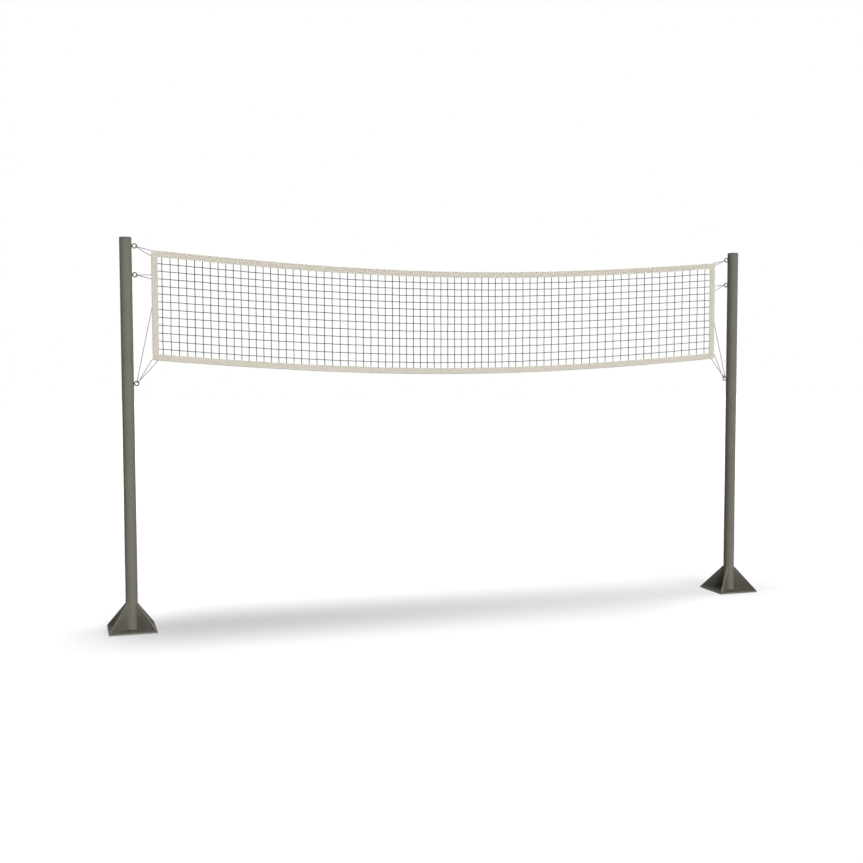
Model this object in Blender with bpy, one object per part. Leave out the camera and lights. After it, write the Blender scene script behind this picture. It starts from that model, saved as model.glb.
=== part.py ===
# A volleyball net lashed between two free-standing steel posts.
# Metres, +Z up, +X along the net, origin on the ground midway between the posts.

import math

import bmesh
import bpy
from mathutils import Matrix, Vector

# Posts
post_spacing = 4.333
post_height = 2.5
tube_diameter = 0.076
tube_wall = 0.003
plate_side = 0.300
plate_thickness = 0.010
plate_edge_bevel = 0.0015
gusset_height = 0.166
gusset_thickness = 0.008
gusset_toe = 0.005
gusset_top_land = 0.006
gusset_corner_margin = 0.008
gusset_weld_snipe = 0.012

# End caps
cap_height = 0.010
cap_edge_radius = 0.0045
cap_crown = 0.0014
cap_wall = 0.0025
cap_plug_depth = 0.022
cap_plug_taper = 0.0006

# Eye bolts: a ring whose back edge is level with the collar's seat on the tube
ring_mean_diameter = 0.027
ring_wire = 0.0065
collar_diameter = 0.015
collar_thickness = 0.0027
shank_diameter = 0.008
shank_length = 0.014
shank_lead_in = 0.0008
nose_reach = 0.0055
nose_radius = 0.0026
upper_eye_depth = 0.0555
middle_eye_depth = 0.2365

# Threaded inserts, flush in the tube wall and bulged behind it
insert_wall = 0.0012
insert_length = 0.0155
insert_head_lip = 0.0010
insert_head_depth = 0.0012
insert_bulge = 0.0017
insert_bulge_length = 0.0032

# Net: its corners hang a little below the upper eyes, and it is lashed a little nearer to the right post
side_space = 0.152
net_offset = 0.0045
net_drop = 0.022
net_height = 0.697
footline_drop = 0.1475
net_sag = 0.100
net_cord = 0.0035
gaps_along = 40
gaps_down = 6
columns_per_span = 4
selvedge_clearance = 0.019
tape_width = 0.040
tape_wall = 0.0012
sleeve_shoulder = 0.007
fold_shoulder = 0.002

# Ropes and lashings
rope_diameter = 0.004
sleeve_clearance = 0.0005
lashing_hole = 0.0062
hole_inset = 0.010
hole_bend = 0.004
bight_slack = 0.0013
stopper_diameter = 0.0085
stopper_length = 0.004
rope_step = 0.024
tie_tail = 0.034
footline_hole_rise = 0.013

# Where each side is tied: how far the holes of the headline, the middle lashing and the side tie lie below
# the net's top corner, and how far the footline's hole lies in from the net's side
left_ties = {"headline": 0.0325, "middle": (0.1575, 0.1850), "side": 0.3375, "footline": 0.036}
right_ties = {"headline": 0.0175, "middle": (0.1675, 0.2025), "side": 0.4105, "footline": 0.017}

# How far above level each rope pulls on its eye
headline_pull = math.radians(-20)
middle_pull = math.radians(-7)
footline_pull = math.radians(42)
side_tie_pull = math.radians(80)

touch_gap = 0.0003
lashing_hole_sides = 10
tube_sides = 32
turned_sides = 12
ring_steps = 18
ring_wire_sides = 8

tube_radius = tube_diameter / 2
tube_bore = tube_radius - tube_wall
tube_foot = plate_thickness + touch_gap
tube_top = post_height - cap_height - touch_gap
ring_radius = ring_mean_diameter / 2
eye_seat = tube_radius + touch_gap
eye_reach = eye_seat + ring_radius + ring_wire / 2
insert_bore = shank_diameter / 2 + touch_gap
insert_radius = insert_bore + insert_wall
net_width = post_spacing - 2 * side_space
net_half = net_width / 2
net_top = post_height - upper_eye_depth - net_drop
net_bottom = net_top - net_height
eye_heights = {"upper": post_height - upper_eye_depth, "middle": post_height - middle_eye_depth,
               "lower": net_bottom - footline_drop}
rope_radius = rope_diameter / 2
sleeve_radius = rope_radius + sleeve_clearance
sleeve_outer = sleeve_radius + tape_wall
selvedge_depth = tape_width - selvedge_clearance
slit_half = net_cord / 2 + touch_gap
tape_half = slit_half + tape_wall
bight_radius = ring_wire / 2 + rope_radius + bight_slack


def make_material(name, color, roughness, metallic=0.0):
    material = bpy.data.materials.new(name)
    material.use_nodes = True
    shader = material.node_tree.nodes["Principled BSDF"]
    shader.inputs["Base Color"].default_value = (*color, 1.0)
    shader.inputs["Roughness"].default_value = roughness
    shader.inputs["Metallic"].default_value = metallic
    return material


def add_object(name, data, material, parent=None, place=(0.0, 0.0, 0.0), turn_z=0.0):
    thing = bpy.data.objects.new(name, data)
    thing.location = place
    thing.rotation_euler = (0.0, 0.0, turn_z)
    thing.parent = parent
    if material and not data.materials:
        data.materials.append(material)
    bpy.context.scene.collection.objects.link(thing)
    return thing


def finish_mesh(bm, name, smooth_angle=None):
    bmesh.ops.remove_doubles(bm, verts=bm.verts, dist=1e-6)
    bmesh.ops.recalc_face_normals(bm, faces=bm.faces)
    mesh = bpy.data.meshes.new(name)
    bm.to_mesh(mesh)
    bm.free()
    if smooth_angle:
        mesh.shade_smooth()
        mesh.set_sharp_from_angle(angle=math.radians(smooth_angle))
    return mesh


def turned_mesh(name, profile, sides, closed=False, along_x=False):
    """Spin a profile of (radius, height) about Z: closed it is a ring, open it runs from axis to axis."""
    bm = bmesh.new()
    verts = [bm.verts.new((radius, 0.0, height)) for radius, height in profile]
    edges = [bm.edges.new(pair) for pair in zip(verts, verts[1:])]
    if closed:
        edges.append(bm.edges.new((verts[-1], verts[0])))
    bmesh.ops.spin(bm, geom=verts + edges, cent=(0, 0, 0), axis=(0, 0, 1), angle=math.tau, steps=sides)
    if along_x:
        bmesh.ops.rotate(bm, verts=bm.verts, matrix=Matrix.Rotation(math.pi / 2, 3, "Y"))
    return finish_mesh(bm, name, 35)


def hide_tool(thing):
    thing.hide_render = True
    thing.display_type = "WIRE"


def cut(thing, tool, operation="DIFFERENCE"):
    modifier = thing.modifiers.new(tool.name, "BOOLEAN")
    modifier.operation = operation
    modifier.object = tool
    hide_tool(tool)


def base_plate_mesh():
    bm = bmesh.new()
    bmesh.ops.create_cube(bm, size=1.0)
    bmesh.ops.scale(bm, verts=bm.verts, vec=(plate_side, plate_side, plate_thickness))
    bmesh.ops.translate(bm, verts=bm.verts, vec=(0, 0, plate_thickness / 2))
    top_edges = [edge for edge in bm.edges if all(vert.co.z > plate_thickness / 2 for vert in edge.verts)]
    bmesh.ops.bevel(bm, geom=top_edges, offset=plate_edge_bevel, segments=1, affect="EDGES")
    return finish_mesh(bm, "base_plate")


def tube_mesh():
    profile = [(tube_bore, tube_foot), (tube_radius, tube_foot),
               (tube_radius, tube_top), (tube_bore, tube_top)]
    return turned_mesh("post_tube", profile, tube_sides, closed=True)


def insert_hole_mesh():
    """The drilled and countersunk hole that takes an insert, along +X."""
    hole = insert_radius + touch_gap
    sink_floor = tube_radius - insert_head_depth - 2 * touch_gap
    profile = [(0.0, tube_bore / 2), (hole, tube_bore / 2), (hole, sink_floor),
               (hole + insert_head_lip, sink_floor + insert_head_lip),
               (hole + insert_head_lip, tube_radius + cap_height), (0.0, tube_radius + cap_height)]
    return turned_mesh("insert_hole", profile, turned_sides, along_x=True)


def insert_mesh():
    head_face = math.sqrt(tube_radius ** 2 - (insert_radius + insert_head_lip) ** 2) - touch_gap
    neck = head_face - insert_head_depth
    bulge_radius = insert_radius + insert_bulge
    bulge_face = math.sqrt(tube_bore ** 2 - bulge_radius ** 2) * math.cos(math.pi / tube_sides) - touch_gap
    bulge_end = bulge_face - insert_bulge_length
    profile = [(insert_bore, head_face), (insert_radius + insert_head_lip, head_face),
               (insert_radius, neck), (insert_radius, bulge_face),
               (bulge_radius, bulge_face), (bulge_radius, bulge_end + insert_bulge),
               (insert_radius, bulge_end), (insert_radius, head_face - insert_length),
               (insert_bore, head_face - insert_length)]
    return turned_mesh("threaded_insert", profile, turned_sides, closed=True, along_x=True)


def eye_bolt_mesh():
    """Ring, collar and shank as one forging, with the shank on the X axis."""
    shank = shank_diameter / 2
    tip = eye_seat - shank_length
    nose = eye_seat + nose_reach
    profile = [(0.0, tip), (shank - shank_lead_in, tip), (shank, tip + shank_lead_in), (shank, eye_seat),
               (collar_diameter / 2, eye_seat), (collar_diameter / 2, eye_seat + collar_thickness),
               (nose_radius, nose), (0.0, nose)]
    body = add_object("eye_body", turned_mesh("eye_body", profile, turned_sides, along_x=True), None)

    bm = bmesh.new()
    flat_inwards = Matrix.Rotation(math.pi / ring_wire_sides, 4, "Z")
    wire = bmesh.ops.create_circle(bm, segments=ring_wire_sides, radius=ring_wire / 2,
                                   matrix=Matrix.Translation((ring_radius, 0, 0)) @ flat_inwards)["verts"]
    edges = list({edge for vert in wire for edge in vert.link_edges})
    bmesh.ops.spin(bm, geom=wire + edges, cent=(0, 0, 0), axis=(0, 1, 0), angle=math.tau, steps=ring_steps)
    bmesh.ops.translate(bm, verts=bm.verts, vec=(eye_reach, 0, 0))
    ring = add_object("eye_ring", finish_mesh(bm, "eye_ring", 35), None)

    cut(body, ring, "UNION")
    depsgraph = bpy.context.evaluated_depsgraph_get()
    mesh = bpy.data.meshes.new_from_object(body.evaluated_get(depsgraph))
    mesh.name = "eye_bolt"
    for tool in (body, ring):
        bpy.data.objects.remove(tool)
    return mesh


def gusset_mesh():
    """A plate standing on the diagonal, drawn in the XZ plane and given its thickness across it."""
    inner = tube_radius + touch_gap
    outer = plate_side / math.sqrt(2) - gusset_corner_margin
    foot = plate_thickness + touch_gap
    outline = [(inner + gusset_weld_snipe, foot), (outer, foot), (outer, foot + gusset_toe),
               (inner + gusset_top_land, foot + gusset_height), (inner, foot + gusset_height),
               (inner, foot + gusset_weld_snipe)]
    bm = bmesh.new()
    face = bm.faces.new([bm.verts.new((x, -gusset_thickness / 2, z)) for x, z in outline])
    side = bmesh.ops.extrude_face_region(bm, geom=[face])
    moved = [item for item in side["geom"] if isinstance(item, bmesh.types.BMVert)]
    bmesh.ops.translate(bm, verts=moved, vec=(0, gusset_thickness, 0))
    return finish_mesh(bm, "gusset")


def end_cap_mesh():
    """A domed head on the tube's rim, with a hollow plug inside the tube."""
    rim = tube_top + touch_gap
    plug = tube_bore - touch_gap
    shoulder = tube_radius - cap_edge_radius
    rounding = [(shoulder + cap_edge_radius * math.cos(angle),
                 post_height - cap_crown - cap_edge_radius * (1 - math.sin(angle)))
                for angle in (0, math.pi / 4, math.pi / 2)]
    profile = [(0.0, rim + cap_wall), (plug - cap_wall, rim + cap_wall),
               (plug - cap_wall, rim - cap_plug_depth), (plug - cap_plug_taper, rim - cap_plug_depth),
               (plug, rim), (tube_radius, rim),
               *rounding, (shoulder / 2, post_height - cap_crown / 4), (0.0, post_height)]
    return turned_mesh("end_cap", profile, tube_sides)


def add_post(side, place, turn, meshes, materials):
    """One post, with its eyes towards its own +X; the empty turns and places it."""
    post = add_object(side + "_post", None, None, place=place, turn_z=turn)
    steel, zinc, plastic = materials["post_paint"], materials["zinc"], materials["cap_plastic"]
    add_object(side + "_base_plate", meshes["plate"], steel, post)
    tube = add_object(side + "_post_tube", tube_mesh(), steel, post)
    for number in range(4):
        add_object(f"{side}_gusset_{number + 1}", meshes["gusset"], steel, post,
                   turn_z=math.radians(45 + 90 * number))
    add_object(side + "_end_cap", meshes["cap"], plastic, post)
    for level, height in eye_heights.items():
        hole = add_object(f"{side}_{level}_insert_hole", meshes["hole"], None, post, (0, 0, height))
        cut(tube, hole)
        add_object(f"{side}_{level}_insert", meshes["insert"], zinc, post, (0, 0, height))
        add_object(f"{side}_{level}_eye_bolt", meshes["eye"], materials["eye_steel"], post, (0, 0, height))


def sag(x):
    """How far the net hangs below its corners at x: a shallow curve, a little sharper than a parabola."""
    across = (x - net_offset) / net_half
    return net_sag * (1 - (math.sqrt(1 + across ** 2) - 1) / (math.sqrt(2) - 1))


def side_sign(side):
    return -1.0 if side == "left" else 1.0


def net_x(side, inset):
    """World x of a place that lies so far in from the net's left or right edge."""
    return net_offset + side_sign(side) * (net_half - inset)


def gap_lines(low, high, count):
    return [low + (high - low) * number / count for number in range(count + 1)]


column_lines = gap_lines(net_x("left", tape_width), net_x("right", tape_width), gaps_along)
row_lines = gap_lines(net_bottom + tape_width, net_top - tape_width, gaps_down)
tape_stations = [net_x("left", 0.0), *column_lines[::columns_per_span], net_x("right", 0.0)]


def cord_bands(lines):
    """Low and high side of every cord in one direction, with the selvedge as the first and the last band."""
    hidden = touch_gap * 3
    bands = [(line - net_cord / 2, line + net_cord / 2) for line in lines]
    bands[0] = (lines[0] - selvedge_depth, lines[0] - hidden)
    bands[-1] = (lines[-1] + hidden, lines[-1] + selvedge_depth)
    return [edge for band in bands for edge in band]


def net_mesh():
    """The netting as one sheet of square cords: every second cell of the grid in both directions is a gap."""
    across, upward = cord_bands(column_lines), cord_bands(row_lines)
    bm = bmesh.new()
    grid = [[bm.verts.new((x, -net_cord / 2, z - sag(x))) for z in upward] for x in across]
    for column in range(len(across) - 1):
        for row in range(len(upward) - 1):
            if column % 2 and row % 2:
                continue
            near, far = grid[column], grid[column + 1]
            bm.faces.new((near[row], far[row], far[row + 1], near[row + 1]))
    back = bmesh.ops.extrude_face_region(bm, geom=bm.faces[:])
    moved = [item for item in back["geom"] if isinstance(item, bmesh.types.BMVert)]
    bmesh.ops.translate(bm, verts=moved, vec=(0, net_cord, 0))
    return finish_mesh(bm, "net_mesh")


def fold_profile(outer, inner, shoulder):
    """Section of a folded tape as (across, depth): round at the fold, narrowing to the slit for the net."""
    def arc(radius, angles):
        return [(radius * math.cos(angle), outer - radius * math.sin(angle)) for angle in angles]

    turn = [math.pi * number / 4 for number in range(5)]
    return [(tape_half, tape_width), (tape_half, outer + shoulder), *arc(outer, turn),
            (-tape_half, outer + shoulder), (-tape_half, tape_width),
            (-slit_half, tape_width), (-slit_half, outer + shoulder), *arc(inner, reversed(turn)),
            (slit_half, outer + shoulder), (slit_half, tape_width)]


def swept_mesh(name, sections):
    """Skin a row of equal closed sections and fill both ends."""
    bm = bmesh.new()
    loops = [[bm.verts.new(point) for point in section] for section in sections]
    count = len(loops[0])
    for near, far in zip(loops, loops[1:]):
        for number in range(count):
            following = (number + 1) % count
            bm.faces.new((near[number], near[following], far[following], far[number]))
    bm.faces.new(loops[0])
    bm.faces.new(loops[-1])
    return finish_mesh(bm, name, 40)


def long_tape_mesh(name, edge_height, inward):
    """Top or bottom tape: the fold is the net's outer edge, and inward is -1 below it or +1 above it."""
    profile = fold_profile(sleeve_outer, sleeve_radius, sleeve_shoulder)
    sections = [[(x, y, edge_height + inward * depth - sag(x)) for y, depth in profile]
                for x in tape_stations]
    return swept_mesh(name, sections)


def side_tape_mesh(side):
    """Side tape: it fits between the long tapes, and its ends follow their slope."""
    profile = fold_profile(tape_half, slit_half, fold_shoulder)
    low = net_bottom + tape_width + touch_gap
    high = net_top - tape_width - touch_gap
    drop, slope = sag(net_x(side, 0)), (sag(net_x(side, tape_width)) - sag(net_x(side, 0))) / tape_width
    ends = [[(net_x(side, depth), y, level - drop - slope * depth) for y, depth in profile]
            for level in (low, high)]
    return swept_mesh(side + "_tape", ends)


def cut_lashing_holes(tape, places):
    """All of a tape's holes in one cut, made by a row of rods across it."""
    bm = bmesh.new()
    for place in places:
        bmesh.ops.create_cone(bm, cap_ends=True, segments=lashing_hole_sides, radius1=lashing_hole / 2,
                              radius2=lashing_hole / 2, depth=6 * tape_half,
                              matrix=Matrix.Translation(place) @ Matrix.Rotation(math.pi / 2, 4, "X"))
    cut(tape, add_object(f"{tape.name}_holes", finish_mesh(bm, "lashing_holes"), None))


def headline_hole(side, ties):
    x = net_x(side, hole_inset)
    return Vector((x, 0, net_top - ties["headline"] - sag(x)))


def footline_hole(side, ties):
    x = net_x(side, ties["footline"])
    return Vector((x, 0, net_bottom + footline_hole_rise - sag(x)))


def side_hole(side, depth):
    return Vector((net_x(side, hole_inset), 0, net_top - depth))


def add_net(materials):
    canvas = materials["tape_canvas"]
    add_object("net_mesh", net_mesh(), materials["net_cord"])
    top = add_object("top_tape", long_tape_mesh("top_tape", net_top, -1), canvas)
    bottom = add_object("bottom_tape", long_tape_mesh("bottom_tape", net_bottom, 1), canvas)
    for side, ties in (("left", left_ties), ("right", right_ties)):
        tape = add_object(side + "_tape", side_tape_mesh(side), canvas)
        cut_lashing_holes(tape, [side_hole(side, depth) for depth in (*ties["middle"], ties["side"])])
    cut_lashing_holes(top, [headline_hole("left", left_ties), headline_hole("right", right_ties)])
    cut_lashing_holes(bottom, [footline_hole("left", left_ties), footline_hole("right", right_ties)])


def pull_direction(side, pull):
    return Vector((-side_sign(side) * math.cos(pull), 0, math.sin(pull)))


def bight(side, level, pull):
    """The rope's turn round an eye's wire, from in front of the ring to behind it, through the ring."""
    outward = pull_direction(side, pull)
    eye = Vector((side_sign(side) * (post_spacing / 2 - eye_reach), 0, eye_heights[level]))
    wire = eye + outward * ring_radius
    points = []
    for number in range(5):
        angle = math.pi * number / 4
        points.append(wire - outward * bight_radius * math.sin(angle)
                      - Vector((0, 1, 0)) * bight_radius * math.cos(angle))
    return points


def through_hole(place, towards, rest):
    """The rope lying on a tape's front, turning into a hole and leaving it at the middle of the tape."""
    away = Vector((towards.x - place.x, 0, towards.z - place.z)).normalized()
    front = Vector((0, -1, 0)) * rest
    points = []
    for number in range(4):
        angle = math.pi / 6 * number
        points.append(place + front + away * hole_bend * (1 - math.sin(angle))
                      - front.normalized() * hole_bend * (1 - math.cos(angle)))
    return points + [place.copy()]


def turned_over(points):
    """The same route on the other side of the net."""
    return [Vector((point.x, -point.y, point.z)) for point in points]


def stopper(place):
    """Route and widths of the knot behind a hole: (point, width) pairs."""
    start = tape_half + touch_gap * 2
    widths = [(start, rope_diameter), (start + touch_gap, stopper_diameter),
              (start + stopper_length, stopper_diameter), (start + stopper_length + touch_gap, rope_diameter)]
    return [(place + Vector((0, y, 0)), width) for y, width in widths]


def past_edge(side, place, towards, rest):
    """Where a strand has just cleared the net's side edge on its way to an eye, as far forward as it lay."""
    clear = side_sign(side) * (net_half + rope_diameter) + net_offset
    share = (clear - place.x) / (towards.x - place.x)
    return Vector((clear, -rest, place.z + (towards.z - place.z) * share))


def smooth(route, closed=False):
    """Points of a curve through the route, a rope_step apart, or closer where the route's own points are."""
    count = len(route)
    spans = count if closed else count - 1

    def at(number):
        return route[number % count] if closed else route[max(0, min(count - 1, number))]

    points = []
    for number in range(spans):
        before, start, end, after = (at(number + offset) for offset in (-1, 0, 1, 2))
        reach = (end - start).length
        leave = (end - before).normalized() * reach
        arrive = (after - start).normalized() * reach
        pieces = math.ceil(reach / rope_step)
        for piece in range(pieces):
            t = piece / pieces
            points.append(start * (2 * t ** 3 - 3 * t ** 2 + 1) + leave * (t ** 3 - 2 * t ** 2 + t)
                          + end * (3 * t ** 2 - 2 * t ** 3) + arrive * (t ** 3 - t ** 2))
    if not closed:
        points.append(route[-1].copy())
    return points


def add_rope(name, points, material, closed=False, widths=None):
    curve = bpy.data.curves.new(name, "CURVE")
    curve.dimensions = "3D"
    curve.bevel_depth = rope_radius
    curve.bevel_resolution = 2
    curve.use_fill_caps = True
    spline = curve.splines.new("POLY")
    spline.points.add(len(points) - 1)
    for number, point in enumerate(points):
        spline.points[number].co = (*point, 1.0)
        spline.points[number].radius = widths[number] / rope_diameter if widths else 1.0
    spline.use_cyclic_u = closed
    return add_object(name, curve, material)


def with_stopper(place, points):
    """Put the stopper knot before the first point of a rope; returns the points and their widths."""
    knot = [*reversed(stopper(place))]
    return [point for point, _ in knot] + points, [width for _, width in knot] + [rope_diameter] * len(points)


def rope_tail(side, level, pull, hole, corner, rest):
    """A long rope's tied end: from the hole, round the eye from front to back, in at the tape's corner."""
    turn = bight(side, level, pull)
    entry = [*reversed(through_hole(hole, turn[0], rest))]
    outward = Vector((side_sign(side), 0, 0)) * rope_diameter
    to_eye = (turn[-1] - corner).normalized() * rope_diameter
    lead_out = [corner + outward, corner + outward * 1.7 + to_eye * 0.6, corner + outward * 2 + to_eye * 1.6]
    return smooth([*entry, *turn, *reversed(lead_out), corner])


def add_long_rope(name, edge_height, inward, level, pull, holes, rest, material):
    """Headline or footline: tied at both ends, and straight through its tape's sleeve in between."""
    sleeve = [Vector((x, 0, edge_height + inward * sleeve_outer - sag(x))) for x in tape_stations]
    ends = {}
    for side, corner in (("left", sleeve[0]), ("right", sleeve[-1])):
        tail = rope_tail(side, level, pull, holes[side], corner, rest)
        ends[side] = with_stopper(holes[side], tail[:-1])
    points = ends["left"][0] + sleeve + ends["right"][0][::-1]
    widths = ends["left"][1] + [rope_diameter] * len(sleeve) + ends["right"][1][::-1]
    add_rope(name, points, material, widths=widths)


def add_middle_lashing(side, ties, material):
    """A closed loop: in at the upper hole, down the tape's back, out at the lower hole, and round the eye."""
    rest = tape_half + rope_radius + touch_gap
    upper, lower = (side_hole(side, depth) for depth in ties["middle"])
    turn = bight(side, "middle", middle_pull)
    enter = through_hole(upper, turn[0], rest)
    down_back = turned_over(through_hole(upper, lower, rest))[-2::-1]
    up_back = turned_over(through_hole(lower, upper, rest))[:-1]
    leave = [*reversed(through_hole(lower, turn[-1], rest))]
    route = [*enter, *down_back, *up_back, *leave, past_edge(side, lower, turn[-1], rest), *reversed(turn)]
    add_rope(f"{side}_middle_lashing", smooth(route, closed=True), material, closed=True)


def add_side_tie(side, ties, material):
    """One strand from a hole in the side tape down to the lowest eye, round it and a short way back up."""
    rest = tape_half + rope_radius + touch_gap
    hole = side_hole(side, ties["side"])
    turn = bight(side, "lower", side_tie_pull)
    entry = [*reversed(through_hole(hole, turn[0], rest))]
    upward = Vector((hole.x - turn[-1].x, 0, hole.z - turn[-1].z)).normalized()
    beside = Vector((0, rope_diameter + touch_gap * 2 - bight_radius, 0))
    tail = [turn[-1] + upward * tie_tail * 0.5 + (beside - Vector((0, bight_radius, 0))) * 0.5,
            Vector((turn[-1].x, 0, turn[-1].z)) + upward * tie_tail + beside]
    points, widths = with_stopper(hole, smooth([*entry, *turn, *tail]))
    add_rope(f"{side}_side_tie", points, material, widths=widths)


def add_ropes(materials):
    rope = materials["rope"]
    headline_holes = {"left": headline_hole("left", left_ties), "right": headline_hole("right", right_ties)}
    footline_holes = {"left": footline_hole("left", left_ties), "right": footline_hole("right", right_ties)}
    add_long_rope("headline_rope", net_top, -1, "upper", headline_pull, headline_holes,
                  tape_half + rope_radius + touch_gap, rope)
    add_long_rope("footline_rope", net_bottom, 1, "lower", footline_pull, footline_holes,
                  sleeve_outer + rope_radius + touch_gap, rope)
    for side, ties in (("left", left_ties), ("right", right_ties)):
        add_middle_lashing(side, ties, rope)
        add_side_tie(side, ties, rope)


def main():
    for thing in list(bpy.data.objects):
        bpy.data.objects.remove(thing)
    materials = {
        "post_paint": make_material("post_paint", (0.150, 0.142, 0.122), 0.5),
        "cap_plastic": make_material("cap_plastic", (0.105, 0.100, 0.088), 0.55),
        "eye_steel": make_material("eye_steel", (0.100, 0.096, 0.088), 0.45, 0.3),
        "zinc": make_material("zinc", (0.55, 0.55, 0.56), 0.35, 1.0),
        "net_cord": make_material("net_cord", (0.045, 0.045, 0.047), 0.8),
        "tape_canvas": make_material("tape_canvas", (0.610, 0.575, 0.490), 0.85),
        "rope": make_material("rope", (0.360, 0.360, 0.375), 0.8),
    }
    meshes = {"plate": base_plate_mesh(), "gusset": gusset_mesh(), "cap": end_cap_mesh(),
              "hole": insert_hole_mesh(), "insert": insert_mesh(), "eye": eye_bolt_mesh()}
    add_post("left", (-post_spacing / 2, 0, 0), 0.0, meshes, materials)
    add_post("right", (post_spacing / 2, 0, 0), math.pi, meshes, materials)
    add_net(materials)
    add_ropes(materials)


main()
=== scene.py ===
import math
import random

import bpy
import numpy as np
from mathutils import Matrix, Vector


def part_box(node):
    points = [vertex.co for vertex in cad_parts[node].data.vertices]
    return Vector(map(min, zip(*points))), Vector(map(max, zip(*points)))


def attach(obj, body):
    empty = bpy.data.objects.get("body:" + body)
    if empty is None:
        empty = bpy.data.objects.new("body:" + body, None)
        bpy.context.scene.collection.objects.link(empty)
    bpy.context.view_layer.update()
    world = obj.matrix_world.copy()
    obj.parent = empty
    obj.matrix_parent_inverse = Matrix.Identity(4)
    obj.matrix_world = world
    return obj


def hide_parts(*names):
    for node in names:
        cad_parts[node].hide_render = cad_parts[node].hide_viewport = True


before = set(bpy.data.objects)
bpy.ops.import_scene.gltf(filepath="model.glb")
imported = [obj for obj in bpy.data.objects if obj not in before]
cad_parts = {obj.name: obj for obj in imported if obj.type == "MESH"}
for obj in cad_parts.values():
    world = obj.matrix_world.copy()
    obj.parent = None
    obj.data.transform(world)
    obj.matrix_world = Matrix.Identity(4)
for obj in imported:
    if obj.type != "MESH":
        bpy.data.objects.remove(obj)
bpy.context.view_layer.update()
rootBody = "posts_and_net"
sideSigns = {"left": -1.0, "right": 1.0}
levels = ("upper", "middle", "lower")
touchGap = 0.0003  # the gap that the frame leaves between pieces that touch
quarter = math.pi / 2
back, up = Vector((0, 1, 0)), Vector((0, 0, 1))
print("frame loaded")


# Places read from the frame

def middleOf(node, axis):
    low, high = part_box(node)
    return (low[axis] + high[axis]) / 2


def netwardEnd(node, side):
    # the x of a node's end that points at the net
    low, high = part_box(node)
    return high.x if side == "left" else low.x


def postAxis(side):
    return middleOf(side + "_post_tube", 0)


def tubeRadius(side):
    low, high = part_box(side + "_post_tube")
    return (high.x - low.x) / 2


# Small helpers

def setMode(mode):
    bpy.ops.object.mode_set(mode=mode)


def clearSelection():
    if bpy.context.object and bpy.context.object.mode != "OBJECT":
        setMode("OBJECT")
    bpy.ops.object.select_all(action="DESELECT")


def makeActive(thing):
    clearSelection()
    thing.select_set(True)
    bpy.context.view_layer.objects.active = thing


def settle(thing):
    # the place goes into the mesh, and the object back to the origin
    makeActive(thing)
    bpy.ops.object.transform_apply(location=True, rotation=True, scale=True)


def moveTo(thing, place, turn):
    thing.location = place
    thing.rotation_euler = turn
    settle(thing)


def takeNew(name):
    # names and settles the object that was just added
    thing = bpy.context.object
    thing.name = thing.data.name = name
    settle(thing)
    return thing


def joinInto(name, things):
    clearSelection()
    for thing in things:
        thing.select_set(True)
    bpy.context.view_layer.objects.active = things[0]
    bpy.ops.object.join()
    return takeNew(name)


def applyModifier(thing, kind, **settings):
    modifier = thing.modifiers.new(kind.lower(), kind)
    for key, value in settings.items():
        setattr(modifier, key, value)
    makeActive(thing)
    bpy.ops.object.modifier_apply(modifier=modifier.name)


def combine(thing, other, operation="DIFFERENCE"):
    # cuts the other out of the thing, or adds it with UNION, and takes it away
    applyModifier(thing, "BOOLEAN", object=other, operation=operation, solver="EXACT")
    bpy.data.objects.remove(other)


def readPoints(thing):
    flat = np.empty(len(thing.data.vertices) * 3)
    thing.data.vertices.foreach_get("co", flat)
    return flat.reshape(-1, 3)


def writePoints(thing, points):
    thing.data.vertices.foreach_set("co", np.ascontiguousarray(points).ravel())
    thing.data.update()


def pick(thing, kind, wanted):
    # enters edit mode with only the edges or faces selected that pass the test
    makeActive(thing)
    setMode("EDIT")
    bpy.ops.mesh.select_mode(type=kind)
    bpy.ops.mesh.select_all(action="DESELECT")
    setMode("OBJECT")
    for part in thing.data.edges if kind == "EDGE" else thing.data.polygons:
        part.select = wanted(part)
    setMode("EDIT")


def cutAlong(thing, axis, cuts):
    # cuts each edge that runs along an axis
    places = [vertex.co[axis] for vertex in thing.data.vertices]
    pick(thing, "EDGE", lambda edge: abs(places[edge.vertices[0]] - places[edge.vertices[1]]) > 1e-6)
    bpy.ops.mesh.subdivide(number_cuts=cuts)
    setMode("OBJECT")


def inEditMode(thing, *steps):
    # runs edit-mode steps on the whole mesh
    makeActive(thing)
    setMode("EDIT")
    bpy.ops.mesh.select_all(action="SELECT")
    for step in steps:
        step()
    setMode("OBJECT")


def sliceAt(thing, place, way, **options):
    inEditMode(thing, lambda: bpy.ops.mesh.bisect(plane_co=place, plane_no=way, **options))


def closeDoubles(distance=0.00001):
    bpy.ops.mesh.remove_doubles(threshold=distance)


def faceOutwards():
    bpy.ops.mesh.normals_make_consistent(inside=False)


def heal(thing, distance=0.00001):
    inEditMode(thing, lambda: closeDoubles(distance), faceOutwards)


def closeEnd():
    # the open rim that is selected is closed in a pole
    bpy.ops.mesh.extrude_region_move(TRANSFORM_OT_translate={"value": (0, 0, 0)})
    bpy.ops.mesh.merge(type="CENTER")


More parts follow.
